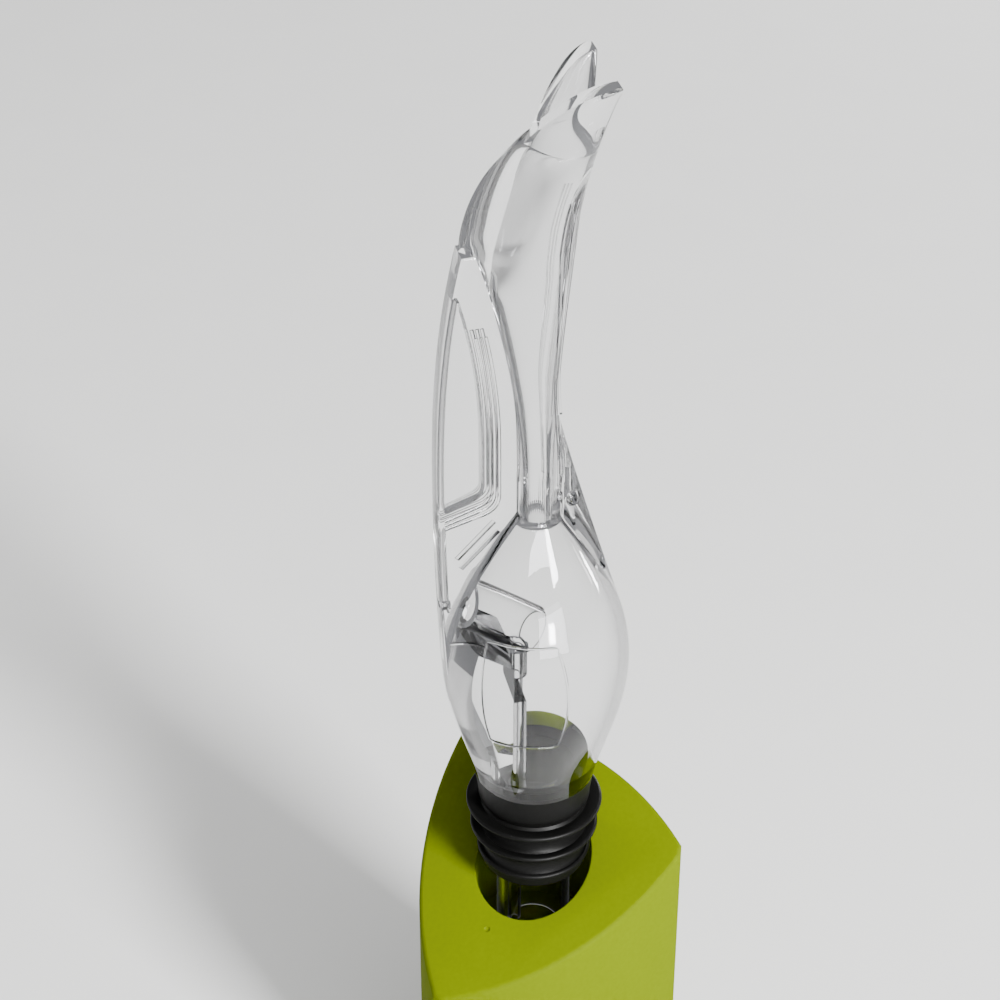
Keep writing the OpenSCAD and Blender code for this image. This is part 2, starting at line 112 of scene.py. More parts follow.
@dataclass
class PourerShape:
    """Sizes of the clear pourer in millimetres, with heights above the stopper's top rim."""

    rim_z: float = 76.0
    foot_r: float = 9.2
    spigot_r: float = 7.5
    bulb_r: float = 15.0
    bulb_z: float = 30.0
    dome_z: float = 58.0
    bulb_wall: float = 1.5
    sleeve_h: float = 6.6
    cavity_step: float = 0.8
    cavity_flare: float = 3.0
    dome_drop: float = 1.5
    dome_rise: float = 0.6
    neck_r: float = 3.9
    throat_r: float = 1.5
    throat_z: float = 66.0
    flare_z: float = 72.0
    waist_rise: float = 10.0
    waist_in: float = 0.9
    hood_z: float = 105.0
    hood_reach: float = 12.0
    keel_run: float = 20.0
    lobe_z: float = 98.0
    lobe_reach: float = 6.2
    valley_z: float = 104.0
    valley_run: float = 2.0
    mouth_z: float = 121.0
    mouth_x: float = 2.4
    tip_z: float = 131.6
    tip_x: float = 9.5
    tip_half: float = 8.0
    tip_crown: float = 0.25
    hood_half: float = 5.8
    notch_z: float = 109.0
    spout_wall: float = 1.6
    ear_wall: float = 3.0
    land_half: float = 0.5
    land_proud: float = 0.4
    fin_reach: float = 16.0
    fin_z: float = 62.0
    fin_half: float = 2.2
    fin_skin: float = 0.9
    fin_border: float = 1.0
    fin_root: float = 1.3
    fin_head_root: float = 4.0
    head_run: float = 15.0
    chamber_z: float = 60.5
    chamber_top_z: float = 97.5
    chamber_x: float = 8.7
    chamber_rise: float = 2.5
    chamber_bend: float = 10.0
    chamber_tip: float = 0.4
    strip_w: float = 4.0
    groove_n: int = 3
    groove_pitch: float = 0.75
    groove_deep: float = 0.3
    groove_top_drop: float = 6.0
    slot_w: float = 1.2
    slot_top: Pair = (56.8, 2.0)
    slot_low: Pair = (50.6, 4.2)
    air_low_rise: float = 12.0
    air_wall: float = 0.6
    air_least: float = 0.3
    web_half: float = 1.8
    web_top_z: float = 76.5
    web_foot_z: float = 40.0
    stopper_foot: float = -11.35
    stem_r: float = 6.2
    stem_wall: float = 1.2
    stem_len: float = 18.0
    stem_hold: float = 11.0
    vent_r: float = 1.1
    vent_bore_r: float = 0.6
    vent_x: float = 3.2
    vent_rise: float = 3.0
    duct_r: float = 4.0
    duct_wall: float = 0.8
    duct_z: float = 35.0
    duct_x: float = 0.7
    duct_slope: float = 36.0
    boss_len: float = 5.0
    boss_wall: float = 0.7
    inlet_r: float = 0.8
    inlet_z: float = 43.0
    rib_half: float = 7.0
    rib_gap: float = 0.15
    hole_margin: float = 0.2
    fit: float = 0.05
    back_power: float = 2.0
    hood_power: float = 1.8
    hood_round: float = 0.62
    rim_power: float = 1.7
    front_power: float = 1.3
    half_power: float = 4.0
    lobe_power: float = 1.6
    valley_power: float = 1.2
    gap_power: float = 1.2
    notch_power: float = 1.6
    fin_power: float = 2.6
    fin_low_power: float = 2.0
    head_power: float = 1.5
    web_power: float = 1.1
    chamber_power: float = 2.0

    @property
    def waist_z(self) -> float:
        """Height of the narrowest place of the spout's front."""
        return self.flare_z + self.waist_rise

    @property
    def waist_x(self) -> float:
        """Distance from the axis to that place."""
        return self.neck_r - self.waist_in

    @property
    def stem_foot(self) -> float:
        """Height of the inlet tube's lower end."""
        return self.stopper_foot - self.stem_len

    @property
    def cavity_z(self) -> float:
        """Height of the wine chamber's floor."""
        return self.sleeve_h + self.cavity_step

    @property
    def cavity_top(self) -> float:
        """Height of the wine chamber's nearly flat top."""
        return self.dome_z - self.dome_drop

    @property
    def bore_r(self) -> float:
        """Radius of the inlet tube's bore."""
        return self.stem_r - self.stem_wall

    @property
    def boss_r(self) -> float:
        """Radius of the boss that holds the vent tube."""
        return self.vent_r + self.boss_wall

    @property
    def lip(self) -> Pair:
        """Distance behind the axis and height of the duct's lowest place."""
        turn = math.radians(self.duct_slope)
        return self.duct_x + self.duct_r * math.sin(turn), self.duct_z - self.duct_r * math.cos(turn)

    @property
    def boss_foot(self) -> float:
        """Height of the boss's lower end."""
        return self.lip[1] - self.boss_len

    @property
    def air_way(self) -> float:
        """Length of the air hole from the duct's end out to the air inlet."""
        rise = self.inlet_z - self.duct_z
        return rise / math.sin(math.radians(self.duct_slope)) + self.hole_margin

    def bulb_at(self, z: float) -> float:
        """Outer radius of the bulb at a height.

        Args:
            z: height above the stopper's top rim.

        Returns:
            The radius.
        """
        if z < self.bulb_z:
            return mix(self.foot_r, self.bulb_r, ease(share(z, 0.0, self.bulb_z)))
        return mix(self.neck_r, self.bulb_r, math.cos(math.pi / 2 * share(z, self.bulb_z, self.dome_z)))

    def cavity_at(self, z: float) -> float:
        """Inner radius of the bulb at a height."""
        return max(self.throat_r, self.bulb_at(z) - self.bulb_wall)

    def spout_back(self, z: float) -> float:
        """Place of the spout's back at a height.

        Args:
            z: height above the stopper's top rim.

        Returns:
            Its X.
        """
        if z < self.hood_z:
            return -mix(self.neck_r, self.hood_reach, share(z, self.flare_z, self.hood_z) ** self.back_power)
        if z < self.mouth_z:
            fall = 1.0 - share(z, self.hood_z, self.mouth_z) ** self.hood_power
            return -mix(self.mouth_x, self.hood_reach, fall ** self.hood_round)
        rise = 1.0 - (1.0 - share(z, self.mouth_z, self.tip_z)) ** (1 / self.rim_power)
        return mix(-self.mouth_x, self.tip_x - self.land_half, rise)

    def spout_front(self, z: float) -> float:
        """Place of the spout's front at a height.

        Args:
            z: height above the stopper's top rim.

        Returns:
            Its X.
        """
        if z < self.waist_z:
            return mix(self.neck_r, self.waist_x, ease(share(z, self.throat_z, self.waist_z)))
        return mix(self.waist_x, self.tip_x, share(z, self.waist_z, self.tip_z) ** self.front_power)

    def spout_half(self, z: float) -> float:
        """Half width of the spout at a height.

        Args:
            z: height above the stopper's top rim.

        Returns:
            The half width.
        """
        if z < self.hood_z:
            return mix(self.neck_r, self.hood_half, ease(share(z, self.flare_z, self.hood_z)))
        rise = share(z, self.hood_z, self.tip_z) ** self.half_power
        return mix(self.hood_half, self.tip_half + self.tip_crown, rise)

    def keel(self, z: float) -> float:
        """How pointed the spout's outside is at its back, from 0 to 1."""
        return ease(share(z, self.hood_z - self.keel_run, self.hood_z))

    def valley(self, z: float) -> float:
        """How pointed the passage is at its back, from 0 to 1."""
        return ease(share(z, self.lobe_z, self.valley_z + self.valley_run))

    def passage_back(self, z: float) -> float:
        """Place of the passage's back at a height, up to where the ears part.

        Args:
            z: height above the stopper's top rim.

        Returns:
            Its X.
        """
        if z < self.valley_z:
            rise = share(z, self.throat_z, self.lobe_z) ** self.lobe_power
            return -mix(self.throat_r, self.lobe_reach, rise)
        rise = share(z, self.valley_z, self.mouth_z) ** self.valley_power
        return -mix(self.lobe_reach, self.mouth_x - self.spout_wall, rise)

    def back_gap(self, z: float) -> float:
        """Half the gap between the ears' back rims at a height."""
        return self.tip_half * share(z, self.mouth_z, self.tip_z) ** self.gap_power

    def front_gap(self, z: float) -> float:
        """Half the gap between the ears' front rims at a height."""
        return self.tip_half * share(z, self.notch_z, self.tip_z) ** self.notch_power

    def wall_at(self, z: float) -> float:
        """Wall of the spout's front and sides at a height.

        Args:
            z: height above the stopper's top rim.

        Returns:
            The thickness.
        """
        if z < self.mouth_z:
            rise = ease(share(z, self.throat_z, self.waist_z))
            return mix(self.neck_r - self.throat_r, self.spout_wall, rise)
        return mix(self.spout_wall, self.ear_wall, share(z, self.mouth_z, self.tip_z))

    def back_wall_at(self, z: float) -> float:
        """Thickness of the hood between its keel and the passage at a height."""
        return self.passage_back(z) - self.spout_back(z) if z < self.mouth_z else self.wall_at(z)

    def fin_back(self, z: float) -> float:
        """Place of the fin's back edge at a height.

        Args:
            z: height above the stopper's top rim.

        Returns:
            Its X.
        """
        if z > self.fin_z:
            return -mix(self.fin_reach, self.hood_reach, share(z, self.fin_z, self.hood_z) ** self.fin_power)
        rise = 1.0 - (1.0 - share(z, self.bulb_z, self.fin_z)) ** self.fin_low_power
        return -mix(self.bulb_r, self.fin_reach, rise)

    def fin_front(self, z: float) -> float:
        """Place of the fin's front, inside the wall that it grows out of.

        Args:
            z: height above the stopper's top rim.

        Returns:
            Its X.
        """
        if z > self.throat_z:
            head = share(z, self.hood_z - self.head_run, self.hood_z) ** self.head_power
            return self.spout_back(z) + mix(self.fin_root, self.fin_head_root, head)
        return -max(self.neck_r - self.fin_root, self.bulb_at(z) - self.bulb_wall / 2)

    def web_front(self, z: float) -> float:
        """Place of the front web's edge at a height."""
        fall = 1.0 - share(z, self.web_foot_z, self.web_top_z)
        return mix(self.waist_x, self.bulb_at(self.web_foot_z), fall ** self.web_power)

    def web_back(self, z: float) -> float:
        """Place of the front web's root, inside the wall behind it.

        Args:
            z: height above the stopper's top rim.

        Returns:
            Its X.
        """
        if z > self.throat_z:
            return self.spout_front(z) - self.fin_root
        return max(self.neck_r - self.fin_root, self.bulb_at(z) - self.bulb_wall / 2)

    def chamber_front(self, z: float) -> float:
        """Place of the large chamber's front at a height.

        Args:
            z: height above the stopper's top rim.

        Returns:
            Its X.
        """
        room = -self.fin_back(self.chamber_top_z) - self.fin_border - self.chamber_x - self.chamber_tip
        rise = share(z, self.fin_z + self.chamber_bend, self.chamber_top_z) ** self.chamber_power
        return -self.chamber_x - room * rise

    def chamber_back(self, z: float) -> float:
        """Place of both chambers' backs, along the fin's solid border."""
        return self.fin_back(z) + self.fin_border

    def under_duct(self, x: float) -> float:
        """Height of the duct's underside over a place in the plane of symmetry, less a small gap."""
        turn = math.radians(self.duct_slope)
        return self.lip[1] - (self.lip[0] + x) * math.tan(turn) - self.rib_gap / math.cos(turn)

    def duct_place(self) -> Matrix:
        """Place of the duct's square end, with Z along the duct towards the fin."""
        return (Matrix.Translation((-self.duct_x, 0, self.duct_z))
                @ Matrix.Rotation(math.radians(self.duct_slope - 90.0), 4, "Y"))


class Workshop:
    """Mesh work shared by the pieces. Solids are made in millimetres and scaled when they are finished."""

    @staticmethod
    def spin(profile: Profile, turn_n: int = 128) -> Mesh:
        """Turns a profile of (radius, height) points round the Z axis.

        Args:
            profile: points of the closed half section, in order.
            turn_n: number of steps in the full turn.

        Returns:
            A closed mesh.
        """
        bm = bmesh.new()
        verts = [bm.verts.new((r, 0.0, z)) for r, z in profile]
        edges = [bm.edges.new((a, b)) for a, b in zip(verts, verts[1:] + verts[:1])]
        bmesh.ops.spin(bm, geom=verts + edges, cent=(0, 0, 0), axis=(0, 0, 1), angle=math.tau,
                       steps=turn_n, use_merge=True)
        bmesh.ops.remove_doubles(bm, verts=bm.verts, dist=WELD)
        bmesh.ops.dissolve_degenerate(bm, dist=FLAT, edges=bm.edges)
        loose = [e for e in bm.edges if not e.link_faces]
        bmesh.ops.delete(bm, geom=loose, context="EDGES")
        bmesh.ops.recalc_face_normals(bm, faces=bm.faces)
        return bm

    @staticmethod
    def loft(rings: Sequence[Sequence[Point]]) -> Mesh:
        """Runs a closed ring of points through a row of sections and closes both ends.

        Args:
            rings: sections with the same number of points each.

        Returns:
            A closed mesh.
        """
        bm = bmesh.new()
        verts = [bm.verts.new(p) for p in rings[0]]
        edges = [bm.edges.new((a, b)) for a, b in zip(verts, verts[1:] + verts[:1])]
        bmesh.ops.contextual_create(bm, geom=edges)
        for ring in rings[1:]:
            made = bmesh.ops.extrude_edge_only(bm, edges=edges)
            fresh = {g for g in made["geom"] if isinstance(g, bmesh.types.BMVert)}
            grown = [next(e.other_vert(v) for e in v.link_edges if e.other_vert(v) in fresh) for v in verts]
            for vert, place in zip(grown, ring):
                vert.co = place
            verts = grown
            edges = [bm.edges.get((a, b)) for a, b in zip(verts, verts[1:] + verts[:1])]
        bmesh.ops.contextual_create(bm, geom=edges)
        bmesh.ops.recalc_face_normals(bm, faces=bm.faces)
        return bm

    @staticmethod
    def slab(outline: Profile, half: float, round_r: float = 0.0, segments: int = 4) -> Mesh:
        """Upright plate on both sides of the plane of symmetry.

        Args:
            outline: (x, z) points of the plate's outline.
            half: half its thickness.
            round_r: radius of its rounded rims, or 0 for sharp ones.
            segments: steps of that rounding.

        Returns:
            A closed mesh.
        """
        bm = bmesh.new()
        verts = [bm.verts.new((x, -half, z)) for x, z in outline]
        face = bm.faces.new(verts)
        made = bmesh.ops.extrude_face_region(bm, geom=[face])
        moved = [g for g in made["geom"] if isinstance(g, bmesh.types.BMVert)]
        bmesh.ops.translate(bm, verts=moved, vec=(0, 2 * half, 0))
        bmesh.ops.recalc_face_normals(bm, faces=bm.faces)
        if round_r:
            rims = [e for e in bm.edges if abs(e.verts[0].co.y - e.verts[1].co.y) < FLAT]
            bmesh.ops.bevel(bm, geom=rims, offset=round_r, segments=segments, profile=0.5, affect="EDGES",
                            material=-1, clamp_overlap=True)
        return bm

    @staticmethod
    def rod(radius: float, low: float, high: float, sides: int = 64) -> Mesh:
        """Upright round rod on the Z axis between two heights.

        Args:
            radius: its radius.
            low: height of its foot.
            high: height of its top.
            sides: number of its sides.

        Returns:
            A closed mesh.
        """
        bm = bmesh.new()
        bmesh.ops.create_cone(bm, cap_ends=True, segments=sides, radius1=radius, radius2=radius,
                              depth=high - low, matrix=Matrix.Translation((0, 0, (low + high) / 2)))
        return bm

    @staticmethod
    def cord(path: Sequence[Point], radius: float, closed: bool = False) -> Mesh:
        """Round bar along a path, for raised lines and for grooves.

        Args:
            path: points along its middle.
            radius: its radius.
            closed: whether its end joins its start.

        Returns:
            A closed mesh.
        """
        curve = bpy.data.curves.new("cord", "CURVE")
        curve.dimensions = "3D"
        curve.bevel_depth = radius
        curve.bevel_resolution = 2
        curve.use_fill_caps = not closed
        line = curve.splines.new("POLY")
        line.points.add(len(path) - 1)
        for point, place in zip(line.points, path):
            point.co = (*place, 1.0)
        line.use_cyclic_u = closed
        holder = bpy.data.objects.new("cord", curve)
        bpy.context.scene.collection.objects.link(holder)
        mesh = bpy.data.meshes.new_from_object(holder.evaluated_get(bpy.context.evaluated_depsgraph_get()))
        bm = bmesh.new()
        bm.from_mesh(mesh)
        bpy.data.objects.remove(holder)
        bpy.data.curves.remove(curve)
        bpy.data.meshes.remove(mesh)
        bmesh.ops.remove_doubles(bm, verts=bm.verts, dist=WELD)
        bmesh.ops.recalc_face_normals(bm, faces=bm.faces)
        return bm

    @staticmethod
    def block(low: Point, high: Point) -> Mesh:
        """Block between two corners.

        Args:
            low: the corner with the least coordinates.
            high: the opposite corner.

        Returns:
            A closed mesh.
        """
        bm = bmesh.new()
        size = Vector(high) - Vector(low)
        middle = (Vector(high) + Vector(low)) / 2
        stretch = Matrix.Diagonal((*size, 1.0))
        bmesh.ops.create_cube(bm, size=1.0, matrix=Matrix.Translation(middle) @ stretch)
        return bm

    @staticmethod
    def dimple(middle: Point, normal: Point, radius: float, deep: float) -> Mesh:
        """Ball that cuts a round dimple into a surface.

        Args:
            middle: middle of the dimple, on the surface.
            normal: direction out of the surface.
            radius: radius of the dimple's rim.
            deep: its depth.

        Returns:
            A closed mesh.
        """
        ball_r = (radius ** 2 + deep ** 2) / (2 * deep)
        at = Vector(middle) + Vector(normal).normalized() * (ball_r - deep)
        bm = bmesh.new()
        bmesh.ops.create_uvsphere(bm, u_segments=2 * BALL_N, v_segments=BALL_N, radius=ball_r,
                                  matrix=Matrix.Translation(at))
        return bm

    @staticmethod
    def place(bm: Mesh, matrix: Matrix) -> Mesh:
        """Moves a whole mesh and gives it back."""
        bmesh.ops.transform(bm, matrix=matrix, verts=bm.verts)
        return bm

    @staticmethod
    def as_object(name: str, bm: Mesh) -> bpy.types.Object:
        """Puts a mesh into the scene as an object and frees its bmesh.

        Args:
            name: name of the object.
            bm: the mesh.

        Returns:
            The object, at the origin.
        """
        mesh = bpy.data.meshes.new(name)
        bm.to_mesh(mesh)
        bm.free()
        made = bpy.data.objects.new(name, mesh)
        bpy.context.scene.collection.objects.link(made)
        return made

    @classmethod
    def combine(cls, base: Mesh, jobs: Iterable[tuple[Cut, Mesh]]) -> Mesh:
        """Joins, removes or keeps solids one after another.

        Args:
            base: the first solid.
            jobs: each following solid with what it does.

        Returns:
            The resulting mesh.
        """
        work = cls.as_object("work", base)
        for how, tool_mesh in jobs:
            tool = cls.as_object("tool", tool_mesh)
            mod = work.modifiers.new("cut", "BOOLEAN")
            mod.operation = how.value
            mod.solver = "EXACT"
            mod.object = tool
            graph = bpy.context.evaluated_depsgraph_get()
            done = bpy.data.meshes.new_from_object(work.evaluated_get(graph))
            work.modifiers.clear()
            old = work.data
            work.data = done
            bpy.data.meshes.remove(old)
            tool_data = tool.data
            bpy.data.objects.remove(tool)
            bpy.data.meshes.remove(tool_data)
        out = bmesh.new()
        out.from_mesh(work.data)
        data = work.data
        bpy.data.objects.remove(work)
        bpy.data.meshes.remove(data)
        bmesh.ops.remove_doubles(out, verts=out.verts, dist=SCRAP)
        bmesh.ops.dissolve_degenerate(out, dist=SCRAP, edges=out.edges)
        return out

    @classmethod
    def finish(cls, name: str, bm: Mesh, body: Body, slot: str, material: bpy.types.Material,
               nodes: Sequence[str] = (), sharp: float = 35.0) -> bpy.types.Object:
        """Scales a solid to metres, smooths it, dresses it and hangs it on its body.

        Args:
            name: name of the piece.
            bm: its mesh in millimetres.
            body: body that it moves with.
            slot: not used.
            material: its finish.
            nodes: CAD nodes that it stands for.
            sharp: edges sharper than this, in degrees, stay sharp.

        Returns:
            The finished piece.
        """
        bmesh.ops.transform(bm, matrix=Matrix.Scale(MM, 4), verts=bm.verts)
        piece = cls.as_object(name, bm)
        piece.data.materials.clear()
        piece.data.materials.append(material)
        for poly in piece.data.polygons:
            poly.material_index = 0
            poly.use_smooth = True
        piece.data.set_sharp_from_angle(angle=math.radians(sharp))
        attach(piece, body.value)
        if nodes:
            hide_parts(*nodes)
        LOG.info("%s: %d faces", name, len(piece.data.polygons))
        return piece


class NodeGroups:
    """Shader groups and node rows that several finishes share."""

    @staticmethod
    def blend(tree: bpy.types.NodeTree, a: Colour, b: Colour, factor: bpy.types.NodeSocket,
              target: bpy.types.NodeSocket) -> None:
        """Mixes two colours and links the result.

        Args:
            tree: node tree to work in.
            a: colour at factor 0.
            b: colour at factor 1.
            factor: socket that gives the factor.
            target: socket that takes the colour.
        """
        node = tree.nodes.new("ShaderNodeMix")
        node.data_type = "RGBA"
        node.inputs["A"].default_value = a
        node.inputs["B"].default_value = b
        tree.links.new(factor, node.inputs["Factor"])
        tree.links.new(node.outputs["Result"], target)

    @staticmethod
    def value(tree: bpy.types.NodeTree, operation: str,
              *terms: bpy.types.NodeSocket | float) -> bpy.types.NodeSocket:
        """Adds a Math node.

        Args:
            tree: node tree to work in.
            operation: what it does.
            terms: its inputs, as sockets or as numbers.

        Returns:
            The socket with its result.
        """
        node = tree.nodes.new("ShaderNodeMath")
        node.operation = operation
        for socket, term in zip(node.inputs, terms):
            if isinstance(term, float):
                socket.default_value = term
            else:
                tree.links.new(term, socket)
        return node.outputs[0]

    @staticmethod
    def moulded() -> bpy.types.ShaderNodeTree:
        """Slow waves and fine specks of a moulded surface.

        Returns:
            A group with inputs Wave Scale, Speck Scale, Low and High, and outputs Value, Height and Speck.
        """
        found = bpy.data.node_groups.get("moulded_surface")
        if found:
            return found
        group = bpy.data.node_groups.new("moulded_surface", "ShaderNodeTree")
        face = group.interface
        for label, value in (("Wave Scale", 60.0), ("Speck Scale", 900.0), ("Low", 0.1), ("High", 0.2)):
            face.new_socket(name=label, in_out="INPUT", socket_type="NodeSocketFloat").default_value = value
        for label in ("Value", "Height", "Speck"):
            face.new_socket(name=label, in_out="OUTPUT", socket_type="NodeSocketFloat")
        nodes, links = group.nodes, group.links
        start, end = nodes.new("NodeGroupInput"), nodes.new("NodeGroupOutput")
        coord = nodes.new("ShaderNodeTexCoord")
        wave, speck = nodes.new("ShaderNodeTexNoise"), nodes.new("ShaderNodeTexNoise")
        wave.inputs["Detail"].default_value = 2.0
        speck.inputs["Detail"].default_value = 3.0
        spread = nodes.new("ShaderNodeMapRange")
        links.new(coord.outputs["Object"], wave.inputs["Vector"])
        links.new(coord.outputs["Object"], speck.inputs["Vector"])
        links.new(start.outputs["Wave Scale"], wave.inputs["Scale"])
        links.new(start.outputs["Speck Scale"], speck.inputs["Scale"])
        links.new(wave.outputs["Fac"], spread.inputs["Value"])
        spread.inputs["From Min"].default_value = 0.3
        spread.inputs["From Max"].default_value = 0.7
        links.new(start.outputs["Low"], spread.inputs["To Min"])
        links.new(start.outputs["High"], spread.inputs["To Max"])
        links.new(spread.outputs["Result"], end.inputs["Value"])
        links.new(wave.outputs["Fac"], end.inputs["Height"])
        links.new(speck.outputs["Fac"], end.inputs["Speck"])
        return group


@dataclass(frozen=True)
class Finish:
    """What every moulded finish has in common."""

    name: str
    low_rough: float
    high_rough: float
    wave_scale: float
    speck_scale: float
    bump: float
    bump_distance: float

    def start(self) -> tuple[bpy.types.Material, bpy.types.ShaderNodeBsdfPrincipled,
                             bpy.types.ShaderNodeGroup]:
        """Makes the material with its surface group linked in.

        Returns:
            The material, its Principled shader and its surface group.
        """
        material = bpy.data.materials.new(self.name)
        material.use_nodes = True
        tree = material.node_tree
        shader = tree.nodes["Principled BSDF"]
        surface = tree.nodes.new("ShaderNodeGroup")
        surface.node_tree = NodeGroups.moulded()
        surface.inputs["Wave Scale"].default_value = self.wave_scale
        surface.inputs["Speck Scale"].default_value = self.speck_scale
        surface.inputs["Low"].default_value = self.low_rough
        surface.inputs["High"].default_value = self.high_rough
        tree.links.new(surface.outputs["Value"], shader.inputs["Roughness"])
        bump = tree.nodes.new("ShaderNodeBump")
        bump.inputs["Strength"].default_value = self.bump
        bump.inputs["Distance"].default_value = self.bump_distance
        tree.links.new(surface.outputs["Height"], bump.inputs["Height"])
        tree.links.new(bump.outputs["Normal"], shader.inputs["Normal"])
        return material, shader, surface


@dataclass(frozen=True)
class ClearAcrylic(Finish):
    """Polished clear acrylic with faint flow waves.

    Its tint darkens with each inner reflection, a painted shade, and rays kept inside for many
    reflections give off a soft grey painted glow.
    """

    name: str = "clear_acrylic"
    low_rough: float = 0.0
    high_rough: float = 0.03
    wave_scale: float = 45.0
    speck_scale: float = 900.0
    bump: float = 0.05
    bump_distance: float = 0.0004
    tint: Colour = (0.985, 0.987, 0.99, 1.0)
    ior: float = 1.49
    # painted shade: near-black tone that the clear tint darkens towards, and the share kept at each inner
    # reflection
    painted_shade_tone: Colour = (0.01, 0.01, 0.012, 1.0)
    painted_shade_falloff: float = 0.32
    gloss: float = 0.2
    mirror: Colour = (0.5, 0.5, 0.52, 1.0)
    # painted glow: its tone, the bounce count after which it starts, and its strength
    painted_glow_tone: Colour = (0.90, 0.91, 0.95, 1.0)
    painted_glow_after: float = 3.5
    painted_glow_strength: float = 0.15

    def material(self) -> bpy.types.Material:
        """Builds the material.

        Returns:
            The finished material.
        """
        material, shader, _ = self.start()
        shader.inputs["IOR"].default_value = self.ior
        shader.inputs["Specular IOR Level"].default_value = self.gloss
        shader.inputs["Specular Tint"].default_value = self.mirror
        shader.inputs["Transmission Weight"].default_value = 1.0
        shader.inputs["Emission Color"].default_value = self.painted_glow_tone
        tree = material.node_tree
        depth = tree.nodes.new("ShaderNodeLightPath").outputs["Glossy Depth"]
        # painted shade: the base colour darkens towards a near black with each glossy bounce
        kept = NodeGroups.value(tree, "POWER", self.painted_shade_falloff, depth)
        NodeGroups.blend(tree, self.painted_shade_tone, self.tint, kept, shader.inputs["Base Color"])
        # painted glow: rays past a few glossy bounces give off a soft grey light
        late = NodeGroups.value(tree, "GREATER_THAN", depth, self.painted_glow_after)
        glow = NodeGroups.value(tree, "MULTIPLY", late, self.painted_glow_strength)
        tree.links.new(glow, shader.inputs["Emission Strength"])
        return material


@dataclass(frozen=True)
class ColouredPlastic(Finish):
    """Glossy coloured plastic whose tone drifts a little."""

    name: str = "lime_plastic"
    low_rough: float = 0.34
    high_rough: float = 0.46
    wave_scale: float = 40.0
    speck_scale: float = 1400.0
    bump: float = 0.08
    bump_distance: float = 0.0005
    dark: Colour = (0.085, 0.116, 0.0, 1.0)
    light: Colour = (0.103, 0.140, 0.0, 1.0)
    gloss: float = 0.004

    def material(self) -> bpy.types.Material:
        """Builds the material.

        Returns:
            The finished material.
        """
        material, shader, surface = self.start()
        NodeGroups.blend(material.node_tree, self.dark, self.light, surface.outputs["Speck"],
                         shader.inputs["Base Color"])
        shader.inputs["Specular IOR Level"].default_value = self.gloss
        return material


SOFT_SILICONE = ColouredPlastic(
    name="dark_silicone", low_rough=0.36, high_rough=0.48, wave_scale=120.0, speck_scale=1800.0, bump=0.1,
    bump_distance=0.0003, dark=(0.002, 0.002, 0.0019, 1.0), light=(0.004, 0.004, 0.0037, 1.0), gloss=0.06)
WETTED_SILICONE = ColouredPlastic(
    name="wetted_silicone", low_rough=0.9, high_rough=0.95, wave_scale=120.0, speck_scale=1800.0, bump=0.1,
    bump_distance=0.0003, dark=(0.003, 0.003, 0.0028, 1.0), light=(0.006, 0.006, 0.0056, 1.0), gloss=0.0)
PAD_RUBBER = ColouredPlastic(
    name="pad_rubber", low_rough=0.7, high_rough=0.85, wave_scale=200.0, speck_scale=2500.0, bump=0.3,
    bump_distance=0.0003, dark=(0.012, 0.012, 0.012, 1.0), light=(0.03, 0.03, 0.03, 1.0))


